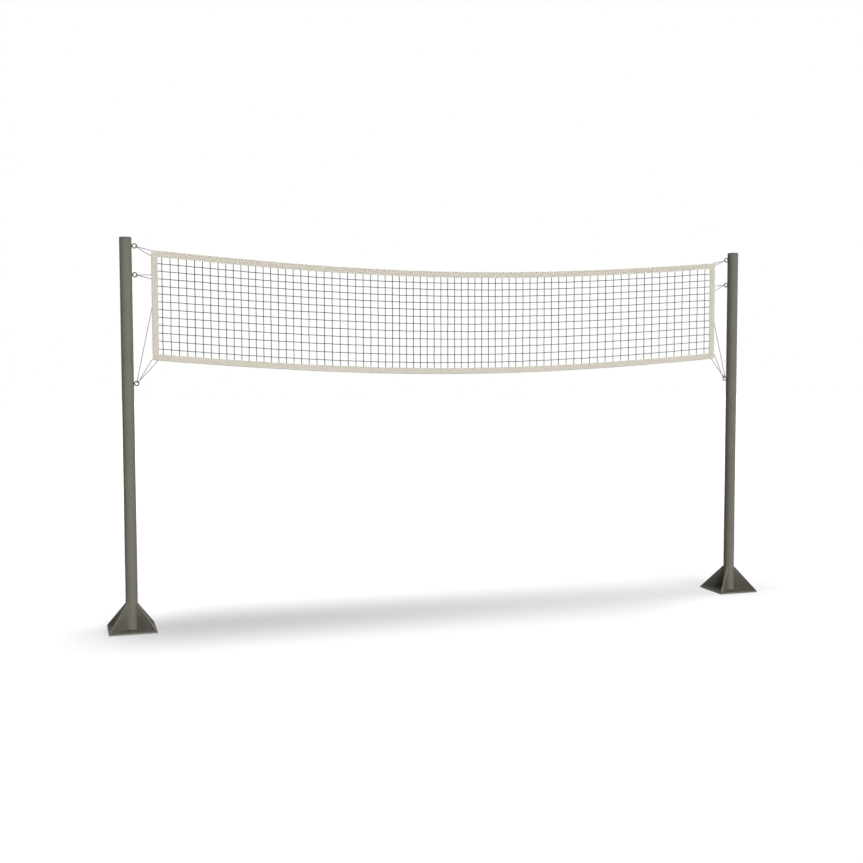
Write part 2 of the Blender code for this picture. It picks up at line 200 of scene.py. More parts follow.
def turnOnLathe(name, rings, sides, closed=False):
    # rings are (radius, height); a closed row comes back to its first ring, an open one ends in two poles
    clearSelection()
    radius, height = rings[0]
    bpy.ops.mesh.primitive_circle_add(vertices=sides, radius=radius, location=(0, 0, height))
    thing = takeNew(name)
    setMode("EDIT")
    bpy.ops.mesh.select_mode(type="VERT")
    bpy.ops.mesh.select_all(action="SELECT")
    if not closed:
        closeEnd()
        bpy.ops.mesh.select_all(action="DESELECT")
        setMode("OBJECT")
        for vertex in thing.data.vertices:
            vertex.select = math.hypot(vertex.co.x, vertex.co.y) > radius / 2
        setMode("EDIT")
    for nextRadius, nextHeight in rings[1:]:
        bpy.ops.mesh.extrude_region_move(TRANSFORM_OT_translate={"value": (0, 0, nextHeight - height)})
        share = nextRadius / radius
        bpy.ops.transform.resize(value=(share, share, 1), center_override=(0, 0, nextHeight))
        radius, height = nextRadius, nextHeight
    if closed:
        bpy.ops.mesh.select_all(action="DESELECT")
        bpy.ops.mesh.select_non_manifold()
        bpy.ops.mesh.bridge_edge_loops()
    else:
        closeEnd()
    bpy.ops.mesh.select_all(action="SELECT")
    closeDoubles()
    faceOutwards()
    setMode("OBJECT")
    return thing


def stretchMap(thing, along, across=1.0):
    # brings a piece's map from its 0 to 1 square to metres
    layer = thing.data.uv_layers[0]
    layer.name = "UVMap"
    flat = np.empty(len(layer.data) * 2)
    layer.data.foreach_get("uv", flat)
    layer.data.foreach_set("uv", (flat.reshape(-1, 2) * (along, across)).ravel())


def cordMesh(lines, radius, closed=False):
    # round cords along the lines, made a mesh; the map's X becomes metres along each cord
    curve = bpy.data.curves.new("cord", "CURVE")
    curve.dimensions = "3D"
    curve.bevel_depth = radius
    curve.bevel_resolution = 1
    curve.use_fill_caps = True
    for line in lines:
        spline = curve.splines.new("POLY")
        spline.points.add(len(line) - 1)
        spline.points.foreach_set("co", np.column_stack([line, np.ones(len(line))]).ravel())
        spline.use_cyclic_u = closed
    thing = bpy.data.objects.new("cord", curve)
    bpy.context.scene.collection.objects.link(thing)
    makeActive(thing)
    bpy.ops.object.convert(target="MESH")
    thing = takeNew("cord")
    stretchMap(thing, float(np.linalg.norm(np.diff(lines[0], axis=0), axis=1).sum()))
    heal(thing, 0.000002)
    return thing


def eased(value, places, numbers):
    # interpolation that is level at each place, as cloth is at a seam or over a cord
    places, numbers = np.array(places), np.array(numbers)
    index = np.clip(np.searchsorted(places, value) - 1, 0, len(places) - 2)
    share = np.clip((value - places[index]) / (places[index + 1] - places[index]), 0, 1)
    share = share * share * (3 - 2 * share)
    return numbers[index] + (numbers[index + 1] - numbers[index]) * share


def markWear(thing, worn):
    # a value per vertex, 1 where paint or fibre has rubbed, which the materials read
    attribute = thing.data.attributes.new("wear", "FLOAT", "POINT")
    attribute.data.foreach_set("value", np.ascontiguousarray(worn, dtype=np.float32))


def finishPiece(thing, finish, degrees, *nodes, body=rootBody):
    # shades the piece smooth up to an angle, gives it its finish and its body, and hides the nodes it stands
    # for
    makeActive(thing)
    bpy.ops.object.shade_smooth_by_angle(angle=math.radians(degrees))
    material, slotName = finishes[finish]
    thing.data.materials.clear()
    thing.data.materials.append(material)
    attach(thing, body)
    if nodes:
        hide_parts(*nodes)


# Camera

cameraPlace = {"location": (-2.5713, -7.8234, 1.7520), "yaw": 17.168, "pitch": 3.630, "roll": -0.110,
               "lens": 50, "sensor": 36}


def makeCamera():
    yaw, pitch, roll = (math.radians(cameraPlace[key]) for key in ("yaw", "pitch", "roll"))
    bpy.ops.object.camera_add(location=cameraPlace["location"])
    camera = bpy.context.object
    camera.rotation_euler = (Matrix.Rotation(-yaw, 4, "Z") @ Matrix.Rotation(quarter - pitch, 4, "X")
                             @ Matrix.Rotation(roll, 4, "Z")).to_euler()
    camera.data.lens = cameraPlace["lens"]
    camera.data.sensor_width = cameraPlace["sensor"]
    bpy.context.scene.camera = camera


# Node helpers: they all add to the tree that was started last

tree = None


def startTree(owner):
    global tree
    owner.use_nodes = True
    tree = owner.node_tree


def fillSockets(node, values):
    # a socket is given by its name, or by its number as in i0; a number is set, another node's output linked
    for key, value in values.items():
        socket = node.inputs[int(key[1:]) if key[1:].isdigit() else key.replace("_", " ")]
        if isinstance(value, bpy.types.Node):
            value = value.outputs[0]
        if isinstance(value, bpy.types.NodeSocket):
            tree.links.new(value, socket)
        else:
            socket.default_value = (*value, 1.0) if socket.type == "RGBA" else value
    return node


def addNode(kind, options=None, **values):
    node = tree.nodes.new("ShaderNode" + kind)
    for key, value in (options or {}).items():
        setattr(node, key, value)
    return fillSockets(node, values)


def calculate(operation, *values):
    sockets = {f"i{index}": value for index, value in enumerate(values)}
    return addNode("Math", {"operation": operation}, **sockets)


def multiply(product, *others):
    for other in others:
        product = calculate("MULTIPLY", product, other)
    return product


def oneLess(value):
    return calculate("SUBTRACT", 1.0, value)


def fromRange(value, low, high, newLow=0.0, newHigh=1.0):
    return addNode("MapRange", {"interpolation_type": "SMOOTHSTEP"}, Value=value, From_Min=low, From_Max=high,
                   To_Min=newLow, To_Max=newHigh)


def objectPlace():
    node = tree.nodes.get("Texture Coordinate") or addNode("TexCoord")
    return node.outputs["Object"]


def axesOf(place):
    return addNode("SeparateXYZ", Vector=place).outputs


def noise(scale, detail, roughness):
    return addNode("TexNoise", Vector=objectPlace(), Scale=scale, Detail=detail, Roughness=roughness)


def cloud(scale, detail, roughness, *fromTo):
    # noise, with its values between the first two of fromTo spread from 0 to 1, or to the last two
    return fromRange(noise(scale, detail, roughness), *fromTo)


def mixColors(share, first, second):
    # a Mix node's colour sockets stand at 6 and 7, and its colour output at 2
    return addNode("Mix", {"data_type": "RGBA"}, i0=share, i6=first, i7=second).outputs[2]


def scaled(color, factor):
    return tuple(channel * factor for channel in color)


def tones(share, color, low, high):
    return mixColors(share, scaled(color, low), scaled(color, high))


def wearMark():
    return addNode("Attribute", {"attribute_name": "wear"}).outputs["Fac"]


def bumpFrom(height, distance, strength=1.0, **normal):
    return addNode("Bump", Height=height, Distance=distance, Strength=strength, **normal)


def startMaterial(name, **values):
    material = bpy.data.materials.new(name)
    startTree(material)
    fillSockets(tree.nodes["Principled BSDF"], values)
    return material


def endMaterial(material, color, normal, **others):
    fillSockets(tree.nodes["Principled BSDF"], {"Base_Color": color, "Normal": normal, **others})
    return material


# Floor, lamp and world

studio = {
    "floorSize": 80.0, "floorColor": 0.08, "floorLight": 0.58, "farLight": 1.0, "farFrom": (3.5, 9.0),
    "floorShade": 0.45, "shadeDepth": (0.42, 0.22), "shadeSpan": (-1.9, 2.6), "shadeCentre": -0.005,
    # how far the painted shade under the net reaches to the back and the front, at its left end and its right
    # end
    "shadeBack": (0.20, 0.80), "backSpan": (-2.7, -1.5), "shadeFront": (0.88, 0.30), "frontSpan": (0.9, 2.1),
    "shadeLeft": (-2.8, -1.8), "shadeRight": (1.9, 2.9),
    "frontWay": (0.17, -0.90, 0.40), "frontCone": (0.89, 0.955), "frontLight": 6.8, "roomLight": 0.21,
    "backWay": (0.0, 0.90, 0.35), "backCone": (0.25, 0.95), "backLight": 1.2,
    "lampPower": 40.0, "lampSize": (7.0, 3.0), "lampPlace": (0.0, -0.4, 6.5),
}


def cameraSees():
    # 1 for what the camera sees straight, in a reflection or through glass
    path = addNode("LightPath").outputs
    return calculate("MAXIMUM", calculate("MAXIMUM", path["Is Camera Ray"], path["Is Glossy Ray"]),
                     path["Is Transmission Ray"])


def makeFloor():
    clearSelection()
    bpy.ops.mesh.primitive_plane_add(size=studio["floorSize"])
    floor = takeNew("studio_floor")
    material = bpy.data.materials.new("studioFloor")
    startTree(material)
    tree.nodes.clear()
    axes = axesOf(objectPlace())
    # a broad soft shadow is painted into the floor under the net: across it and along it
    away = calculate("SUBTRACT", axes["Y"], studio["shadeCentre"])
    behind = calculate("DIVIDE", away, fromRange(axes["X"], *studio["backSpan"], *studio["shadeBack"]))
    before = calculate("DIVIDE", away, fromRange(axes["X"], *studio["frontSpan"], *studio["shadeFront"]))
    shade = multiply(fromRange(behind, 0.0, 1.0, 1.0, 0.0), fromRange(before, -1.0, 0.0),
                     fromRange(axes["X"], *studio["shadeLeft"]),
                     fromRange(axes["X"], *studio["shadeRight"], 1.0, 0.0),
                     fromRange(axes["X"], *studio["shadeSpan"], *studio["shadeDepth"]))
    left = oneLess(shade)
    distance = addNode("VectorMath", {"operation": "LENGTH"}, i0=objectPlace()).outputs["Value"]
    bright = fromRange(distance, *studio["farFrom"], studio["floorLight"], studio["farLight"])
    lit = addNode("BsdfDiffuse", Color=mixColors(left, (0, 0, 0), (studio["floorShade"],) * 3))
    shown = addNode("AddShader", i0=addNode("Emission", Strength=multiply(left, bright)), i1=lit)
    plain = addNode("BsdfDiffuse", Color=(studio["floorColor"],) * 3)
    addNode("OutputMaterial", Surface=addNode("MixShader", i0=cameraSees(), i1=plain, i2=shown))
    floor.data.materials.append(material)


def makeLamp():
    bpy.ops.object.light_add(type="AREA", location=studio["lampPlace"])
    lamp = bpy.context.object
    lamp.name = "lamp_top"
    lamp.rotation_euler = (Vector() - Vector(studio["lampPlace"])).to_track_quat("-Z", "Y").to_euler()
    lamp.data.shape = "RECTANGLE"
    lamp.data.size, lamp.data.size_y = studio["lampSize"]
    lamp.data.energy = studio["lampPower"]
    lamp.visible_camera = False


def makeWorld():
    world = bpy.data.worlds.new("studio")
    bpy.context.scene.world = world
    startTree(world)
    tree.nodes.clear()
    # a wide soft light stands in front of the net and a weaker one behind it, in a dim room
    way = addNode("TexCoord").outputs["Generated"]
    room = studio["roomLight"]
    for end in ("front", "back"):
        facing = addNode("VectorMath", {"operation": "DOT_PRODUCT"}, i0=way,
                         i1=Vector(studio[end + "Way"]).normalized()).outputs["Value"]
        room = calculate("ADD", room, fromRange(facing, *studio[end + "Cone"], 0.0, studio[end + "Light"]))
    light = addNode("Background", Color=(1, 1, 1), Strength=room)
    white = addNode("Background", Color=(1, 1, 1), Strength=1.0)
    addNode("OutputWorld", Surface=addNode("MixShader", i0=cameraSees(), i1=light, i2=white))
    bpy.context.scene.view_settings.view_transform = "Standard"


# Materials. A cloud's numbers are its scale, detail, roughness, and the two values between which it turns
# from one tone to the other. A share is how much of the other colour a layer gets at most.

paintLook = {
    "color": (0.176, 0.166, 0.138), "roughness": 0.6, "specular": 0.03,
    "mottle": (5.0, 4.0, 0.6, 0.3, 0.7), "mottleTones": (0.955, 1.045),
    "speck": (2200.0, 1.0, 0.5, 0.62, 0.72), "speckShare": 0.35, "speckTone": 1.5,
    "rub": (90.0, 4.0, 0.65, 0.42, 0.66), "rubShare": 0.4, "rubColor": (0.27, 0.26, 0.235),
    # the next keys paint shade into the pockets between the gussets near the plate
    "grimeAndShade": (24.0, 5.0, 0.7, 0.25, 0.6), "pocketShadeSpan": (0.6, 1.0), "grimeAndShadeShare": 0.72,
    "grimeAndShadeColor": (0.082, 0.076, 0.064), "pocketShadeTop": (0.03, 0.19), "pocketShadeFrom": (0.0385, 0.052),
    "pocketShadeOnTube": 0.25, "gloss": (60.0, 3.0, 0.5, 0.3, 0.7), "glossSpan": (-0.05, 0.06),
    "peel": (700.0, 2.0, 0.45), "peelDepth": 0.00012,
}


def paintMaterial():
    look = paintLook
    rough = look["roughness"]
    material = startMaterial("postPaint", Roughness=rough, Specular_IOR_Level=look["specular"])
    wear = wearMark()
    color = tones(cloud(*look["mottle"]), look["color"], *look["mottleTones"])
    color = mixColors(multiply(cloud(*look["speck"]), look["speckShare"]), color,
                      scaled(look["color"], look["speckTone"]))
    color = mixColors(multiply(wear, cloud(*look["rub"]), look["rubShare"]), color, look["rubColor"])
    # painted shade darkens the pockets between the gussets near the plate, patchy, and least on their edges
    # and on the tube
    axes = axesOf(objectPlace())
    out = calculate("SUBTRACT", calculate("ABSOLUTE", axes["X"]), postAxis("right"))
    out = calculate("SQRT", calculate("ADD", multiply(out, out), multiply(axes["Y"], axes["Y"])))
    grimeAndShade = multiply(fromRange(axes["Z"], *look["pocketShadeTop"], 1.0, 0.0),
                     fromRange(out, *look["pocketShadeFrom"], look["pocketShadeOnTube"], 1.0),
                     cloud(*look["grimeAndShade"], *look["pocketShadeSpan"]),
                     fromRange(wear, 0.0, 1.0, look["grimeAndShadeShare"], 0.0))
    color = mixColors(grimeAndShade, color, look["grimeAndShadeColor"])
    return endMaterial(material, color, bumpFrom(noise(*look["peel"]), look["peelDepth"]),
                       Roughness=cloud(*look["gloss"], *(rough + change for change in look["glossSpan"])))


capLook = {"color": (0.105, 0.101, 0.088), "roughness": 0.5, "specular": 0.4,
           "cloud": (40.0, 3.0, 0.5, 0.3, 0.7), "cloudTones": (0.96, 1.04),
           "scuff": (160.0, 4.0, 0.7, 0.45, 0.7), "scuffShare": 0.3, "scuffTone": 1.8,
           "gloss": (220.0, 2.0, 0.5, 0.3, 0.7), "glossSpan": (-0.06, 0.1),
           "grainSize": 1500.0, "grainDepth": 0.00008, "grainStrength": 0.8}


def capMaterial():
    look = capLook
    rough = look["roughness"]
    material = startMaterial("capPlastic", Roughness=rough, Specular_IOR_Level=look["specular"])
    color = tones(cloud(*look["cloud"]), look["color"], *look["cloudTones"])
    scuff = multiply(wearMark(), cloud(*look["scuff"]), look["scuffShare"])
    color = mixColors(scuff, color, scaled(look["color"], look["scuffTone"]))
    grain = addNode("TexVoronoi", Vector=objectPlace(), Scale=look["grainSize"]).outputs["Distance"]
    return endMaterial(material, color, bumpFrom(grain, look["grainDepth"], look["grainStrength"]),
                       Roughness=cloud(*look["gloss"], *(rough + change for change in look["glossSpan"])))


eyeLook = {"color": (0.060, 0.058, 0.054), "roughness": 0.44, "metal": 0.55, "specular": 0.45,
           "scale": (150.0, 4.0, 0.6, 0.32, 0.68), "scaleTones": (0.86, 1.14),
           "bare": (700.0, 3.0, 0.7, 0.35, 0.62), "bareColor": (0.19, 0.185, 0.175),
           "dullest": 0.05, "polish": 0.16, "forge": (420.0, 3.0, 0.55), "forgeDepth": 0.00012}


def eyeMaterial():
    look = eyeLook
    material = startMaterial("eyeSteel", Roughness=look["roughness"], Metallic=look["metal"],
                             Specular_IOR_Level=look["specular"])
    bare = multiply(wearMark(), cloud(*look["bare"]))
    color = tones(cloud(*look["scale"]), look["color"], *look["scaleTones"])
    color = mixColors(bare, color, look["bareColor"])
    rough = calculate("SUBTRACT", look["roughness"] + look["dullest"], multiply(bare, look["polish"]))
    return endMaterial(material, color, bumpFrom(noise(*look["forge"]), look["forgeDepth"]), Roughness=rough)


zincLook = {"color": (0.58, 0.59, 0.61), "roughness": 0.34, "glossSpan": (-0.08, 0.1),
            "spangleSize": 220.0, "spangleTones": (0.82, 1.12),
            "pits": (900.0, 3.0, 0.5), "pitDepth": 0.00005}


def zincMaterial():
    look = zincLook
    rough = look["roughness"]
    material = startMaterial("insertZinc", Roughness=rough, Metallic=1.0)
    spangle = addNode("TexVoronoi", Vector=objectPlace(), Scale=look["spangleSize"]).outputs["Color"]
    tone = addNode("SeparateColor", Color=spangle)
    return endMaterial(material, tones(tone, look["color"], *look["spangleTones"]),
                       bumpFrom(noise(*look["pits"]), look["pitDepth"]),
                       Roughness=fromRange(tone, 0.0, 1.0, *(rough + change for change in look["glossSpan"])))


def alongCord():
    # a cord's own map: X is metres along it, Y once round it; on a tape both are metres
    return axesOf(addNode("UVMap", {"uv_map": "UVMap"}))


def twistWave(pitch, starts):
    # 0 to 1 and back, once for each yarn, running round the cord as a screw does
    flow = alongCord()
    turn = calculate("MULTIPLY_ADD", flow["X"], math.tau / pitch, multiply(flow["Y"], math.tau))
    return calculate("MULTIPLY_ADD", calculate("SINE", multiply(turn, starts)), 0.5, 0.5)


twineLook = {"color": (0.022, 0.022, 0.025), "roughness": 0.72, "specular": 0.35, "sheen": 0.15,
             "layPitch": 0.0065, "yarns": 2.0, "layTones": (0.62, 1.2), "layDepth": 0.0004,
             "dust": (9.0, 4.0, 0.7, 0.35, 0.8), "dustShare": 0.3, "dustColor": (0.085, 0.083, 0.080),
             "fibre": (2600.0, 2.0, 0.6), "fibreDepth": 0.00010}


def twineMaterial():
    look = twineLook
    material = startMaterial("netTwine", Roughness=look["roughness"], Specular_IOR_Level=look["specular"],
                             Sheen_Weight=look["sheen"], Sheen_Roughness=0.4)
    lay = twistWave(look["layPitch"], look["yarns"])
    # the colour follows the lay: painted shade in its grooves and a painted highlight on its crests
    color = mixColors(multiply(cloud(*look["dust"]), look["dustShare"]),
                      tones(lay, look["color"], *look["layTones"]), look["dustColor"])
    fibre = bumpFrom(noise(*look["fibre"]), look["fibreDepth"])
    return endMaterial(material, color, bumpFrom(lay, look["layDepth"], Normal=fibre))


ropeLook = {"color": (0.250, 0.246, 0.264), "roughness": 0.62, "specular": 0.4, "sheen": 0.2,
            "cloud": (60.0, 4.0, 0.65, 0.32, 0.7), "cloudTones": (0.86, 1.06),
            "fibrePitch": 0.006, "fibres": 7.0, "fibreDepth": 0.00006,
            "valleyShadeShare": 0.16, "valleyShadeTone": 0.55,
            "hair": (3200.0, 2.0, 0.6), "hairDepth": 0.00004}


def ropeMaterial():
    look = ropeLook
    material = startMaterial("lashingRope", Roughness=look["roughness"], Specular_IOR_Level=look["specular"],
                             Sheen_Weight=look["sheen"], Sheen_Roughness=0.35)
    fibre = twistWave(look["fibrePitch"], look["fibres"])
    # painted shade darkens the valleys between the fibres
    color = mixColors(multiply(oneLess(fibre), look["valleyShadeShare"]),
                      tones(cloud(*look["cloud"]), look["color"], *look["cloudTones"]),
                      scaled(look["color"], look["valleyShadeTone"]))
    hair = bumpFrom(noise(*look["hair"]), look["hairDepth"])
    return endMaterial(material, color, bumpFrom(fibre, look["fibreDepth"], Normal=hair))


canvasLook = {
    "color": (0.645, 0.608, 0.512), "roughness": 0.86, "specular": 0.25, "sheen": 0.25,
    "yarn": 0.0011, "yarnDepth": 0.00013, "crossing": (-0.15, 0.15), "valleyShadeShare": 0.42, "valleyShadeTone": 0.62,
    "slub": (420.0, 3.0, 0.7, 0.3, 0.75), "slubTones": (0.93, 1.05),
    "soil": (7.0, 5.0, 0.62, 0.36, 0.74), "soilShare": 0.5, "soilColor": (0.60, 0.585, 0.50),
    "grimeAndShade": (55.0, 4.0, 0.7, 0.3, 0.7), "grimeAndShadeShare": 0.35, "grimeAndShadeColor": (0.42, 0.38, 0.30),
    "crease": (150.0, 3.0, 0.6), "creaseDepth": 0.00025, "creaseStrength": 0.6,
}


def canvasMaterial():
    look = canvasLook
    material = startMaterial("tapeCanvas", Roughness=look["roughness"], Specular_IOR_Level=look["specular"],
                             Sheen_Weight=look["sheen"], Sheen_Roughness=0.5)
    # a plain weave: the warp's and the weft's yarns take turns on top
    flow = alongCord()
    weft, warp = (calculate("SINE", multiply(flow[axis], math.pi / look["yarn"])) for axis in ("X", "Y"))
    over = fromRange(multiply(weft, warp), *look["crossing"])
    weave = calculate("ADD", multiply(calculate("ABSOLUTE", warp), over),
                      multiply(calculate("ABSOLUTE", weft), oneLess(over)))
    color = tones(cloud(*look["slub"]), look["color"], *look["slubTones"])
    color = mixColors(multiply(cloud(*look["soil"]), look["soilShare"]), color, look["soilColor"])
    # painted shade darkens the valleys between the yarns
    valleyShade = multiply(oneLess(weave), look["valleyShadeShare"])
    color = mixColors(valleyShade, color, scaled(look["color"], look["valleyShadeTone"]))
    # the cloth is soiled round its holes, where the ropes pass
    grimeAndShade = multiply(wearMark(), cloud(*look["grimeAndShade"]), look["grimeAndShadeShare"])
    color = mixColors(grimeAndShade, color, look["grimeAndShadeColor"])
    crease = bumpFrom(noise(*look["crease"]), look["creaseDepth"], look["creaseStrength"])
    return endMaterial(material, color, bumpFrom(weave, look["yarnDepth"], Normal=crease))


threadLook = {"color": (0.70, 0.67, 0.585), "roughness": 0.6, "specular": 0.4, "sheen": 0.2,
              "cloud": (700.0, 3.0, 0.7, 0.3, 0.7), "cloudTones": (0.84, 1.06),
              "fibre": (4200.0, 1.0, 0.5), "fibreDepth": 0.00008}


def threadMaterial():
    look = threadLook
    material = startMaterial("sewingThread", Roughness=look["roughness"], Specular_IOR_Level=look["specular"],
                             Sheen_Weight=look["sheen"])
    return endMaterial(material, tones(cloud(*look["cloud"]), look["color"], *look["cloudTones"]),
                       bumpFrom(noise(*look["fibre"]), look["fibreDepth"]))


# Base plates

plateMake = {"rounding": 0.0015, "steps": 3, "wearMargin": 0.0022, "leastFace": 0.01}


def roundedBlock(thing, make):
    # all sharp edges are rounded, and an inset round each large face keeps the worn paint near its edge
    applyModifier(thing, "BEVEL", width=make["rounding"], segments=make["steps"], limit_method="ANGLE",
                  angle_limit=math.radians(25))
    pick(thing, "FACE", lambda face: face.area > make["leastFace"])
    bpy.ops.mesh.inset(thickness=make["wearMargin"], use_individual=True)
    setMode("OBJECT")
    worn = np.ones(len(thing.data.vertices))
    for face in thing.data.polygons:
        if face.select:
            worn[list(face.vertices)] = 0.0
    markWear(thing, worn)


def makeBasePlate(side):
    node = side + "_base_plate"
    low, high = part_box(node)
    bpy.ops.mesh.primitive_cube_add(size=1, location=(low + high) / 2, scale=high - low)
    plate = takeNew(side + "_plate_painted")
    roundedBlock(plate, plateMake)
    finishPiece(plate, "paint", 30, node)


# Post tubes

tubeMake = {"sides": 96, "sections": 24, "wall": 0.003, "rimRounding": 0.0006, "rimSteps": 2,
            "wornRim": 0.002, "wornTo": 0.0035, "holeSides": 32, "holeRadius": 0.0055, "seatLip": 0.0010,
            "seatDepth": 0.0012, "drillReach": 0.01}


def makeTube(side):
    node, make = side + "_post_tube", tubeMake
    low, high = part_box(node)
    radius = tubeRadius(side)
    bpy.ops.mesh.primitive_cylinder_add(vertices=make["sides"], radius=radius, depth=high.z - low.z,
                                        end_fill_type="NOTHING", location=(low + high) / 2)
    tube = takeNew(side + "_tube_painted")
    cutAlong(tube, 2, make["sections"])
    applyModifier(tube, "SOLIDIFY", thickness=make["wall"], offset=-1)
    applyModifier(tube, "BEVEL", width=make["rimRounding"], segments=make["rimSteps"],
                  limit_method="ANGLE")
    for height in (low.z + make["wornTo"], high.z - make["wornTo"]):
        sliceAt(tube, (0, 0, height), up)
    # each eye bolt's insert has a hole with a shallow seat for its head
    hole, seat = make["holeRadius"] + touchGap, radius - make["seatDepth"] - 2 * touchGap
    lip = make["seatLip"]
    for level in levels:
        rings = [(hole, radius / 2), (hole, seat), (hole + lip, seat + lip),
                 (hole + lip, radius + make["drillReach"])]
        bit = turnOnLathe("drill_bit", rings, make["holeSides"])
        moveTo(bit, (postAxis(side), 0, middleOf(f"{side}_{level}_eye_bolt", 2)),
               (0, -sideSigns[side] * quarter, 0))
        combine(tube, bit)
    heights = readPoints(tube)[:, 2]
    markWear(tube, (np.minimum(heights - low.z, high.z - heights) < make["wornRim"]).astype(float))
    finishPiece(tube, "paint", 30, node)


# Gussets

gussetMake = {"thickness": 0.008, "toe": 0.005, "topLand": 0.006, "snipe": 0.012, "rounding": 0.0009,
              "steps": 2, "wearMargin": 0.0013, "leastFace": 0.005}


def gussetReach(side):
    # inner and outer end of a gusset, measured out from the tube's axis on the plate's diagonal
    across = abs(netwardEnd(side + "_gusset_1", side) - postAxis(side))
    return tubeRadius(side) + touchGap, across * math.sqrt(2) - gussetMake["thickness"] / 2


def makeGusset(side, number):
    node, make = f"{side}_gusset_{number}", gussetMake
    low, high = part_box(node)
    inner, outer = gussetReach(side)
    bpy.ops.mesh.primitive_cube_add(size=1, location=((inner + outer) / 2, 0, (low.z + high.z) / 2),
                                    scale=(outer - inner, make["thickness"], high.z - low.z))
    gusset = takeNew(node + "_painted")
    # the sloping edge, from the land at the top to the toe, then the corner sniped for the ring weld
    top, toe = Vector((inner + make["topLand"], 0, high.z)), Vector((outer, 0, low.z + make["toe"]))
    slope = Vector((high.z - toe.z, 0, toe.x - top.x)).normalized()
    for place, way in ((top, slope), ((inner + make["snipe"], 0, low.z), Vector((-1, 0, -1)).normalized())):
        sliceAt(gusset, place, way, use_fill=True, clear_outer=True)
    heal(gusset)
    roundedBlock(gusset, make)
    centre = (low + high) / 2
    moveTo(gusset, (postAxis(side), 0, 0), (0, 0, math.atan2(centre.y, centre.x - postAxis(side))))
    finishPiece(gusset, "paint", 30, node)


# Weld beads

weldMake = {"leg": 0.0045, "sides": 20, "sunk": 0.0002, "ripple": 0.0024, "rippleDepth": 0.17, "lap": 0.55,
            "unevenness": 0.06, "unevenRates": (70.0, 155.0, 330.0), "ringSteps": 300, "stepsPerRipple": 3,
            "pastToe": 0.001, "belowTop": 0.003}


def rippled(along, side, seed):
    # height of a hand-laid bead: crescents a ripple apart, each lapping over the one before
    wander = random.Random(seed)
    phases = [wander.uniform(0, math.tau) for _ in range(3)]
    crescent = along / weldMake["ripple"] + weldMake["lap"] * side * side
    saw = crescent - np.floor(crescent)
    slow = sum(np.sin(along * rate + phase) for rate, phase in zip(weldMake["unevenRates"], phases)) / 3
    return 1 - weldMake["rippleDepth"] * saw + weldMake["unevenness"] * slow


def shapeBead(along, first, second, seed):
    # first and second are the offsets out from the two plates; what lies behind a plate is drawn up to it
    height = rippled(along, np.arctan2(second, first) - math.pi / 4, seed)
    return [np.maximum(offset * height, -weldMake["sunk"]) for offset in (first, second)]


def straightBead(start, end, firstOut, secondOut, seed):
    length = (end - start).length
    clearSelection()
    bpy.ops.mesh.primitive_cylinder_add(vertices=weldMake["sides"], radius=weldMake["leg"], depth=length,
                                        location=(0, 0, length / 2))
    bead = takeNew("weld_bead")
    cuts = max(2, round(math.sqrt(length / weldMake["ripple"] * weldMake["stepsPerRipple"])))
    for _ in range(2):
        cutAlong(bead, 2, cuts - 1)
    points = readPoints(bead)
    along = points[:, 2]
    taper = np.clip(np.minimum(along, length - along) / weldMake["leg"], 0.0, 1.0) ** 0.5
    first, second = shapeBead(along, points[:, 0] * taper, points[:, 1] * taper, seed)
    writePoints(bead, np.array(start) + np.outer(along, (end - start).normalized())
                + np.outer(first, firstOut) + np.outer(second, secondOut))
    heal(bead)
    return bead


def ringBead(side, foot, seed):
    clearSelection()
    radius = tubeRadius(side)
    bpy.ops.mesh.primitive_torus_add(major_radius=radius, minor_radius=weldMake["leg"],
                                     major_segments=weldMake["ringSteps"], minor_segments=weldMake["sides"])
    bead = takeNew("ring_bead")
    points = readPoints(bead)
    out, around = np.hypot(points[:, 0], points[:, 1]), np.arctan2(points[:, 1], points[:, 0])
    turns = round(math.tau * radius / weldMake["ripple"])
    along = around * turns * weldMake["ripple"] / math.tau
    first, second = shapeBead(along, out - radius, points[:, 2], seed)
    out = radius + first
    places = [postAxis(side) + out * np.cos(around), out * np.sin(around), foot + second]
    writePoints(bead, np.stack(places, 1))
    heal(bead)
    return bead


def makeWelds(side):
    inner, outer = gussetReach(side)
    low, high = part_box(side + "_gusset_1")
    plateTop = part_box(side + "_base_plate")[1].z
    axis, foot = Vector((postAxis(side), 0, 0)), up * plateTop
    half, radius, snipe = gussetMake["thickness"] / 2, tubeRadius(side), gussetMake["snipe"]
    beads = [ringBead(side, plateTop, 11)]
    for number in range(4):
        angle = math.radians(45 + 90 * number)
        out = Vector((math.cos(angle), math.sin(angle), 0))
        aside = Vector((-out.y, out.x, 0))
        for hand in (-1, 1):
            beside, seed = aside * hand, number * 4 + hand
            face = axis + beside * half
            # one bead runs along the foot, and one stands where the gusset's face meets the round tube
            meet = face + out * math.sqrt(radius ** 2 - half ** 2)
            beads.append(straightBead(face + out * (inner + snipe) + foot,
                                      face + out * (outer + weldMake["pastToe"]) + foot, beside, up, seed))
            beads.append(straightBead(meet + up * (low.z + snipe),
                                      meet + up * (high.z - weldMake["belowTop"]), beside, out, seed + 40))
        # and a short one closes each toe
        toe, across = axis + out * outer + foot, aside * (half + weldMake["pastToe"])
        beads.append(straightBead(toe - across, toe + across, out, up, number))
    welds = joinInto(side + "_weld_beads", beads)
    markWear(welds, np.zeros(len(welds.data.vertices)))
    finishPiece(welds, "paint", 60)


# End caps

capMake = {"sides": 96, "edgeRadius": 0.0045, "edgeSteps": 8, "crown": 0.0014, "wall": 0.0025,
           "crownShares": (0.85, 0.65, 0.45, 0.25), "taper": 0.0006, "lipRounding": 0.0005, "fillet": 0.001,
           "footRounding": (0.0004, 0.0006), "gateRadius": 0.0022,
           "gateRim": (1.15, 0.00002), "gateDepth": 0.0003, "gateFloor": 0.3}


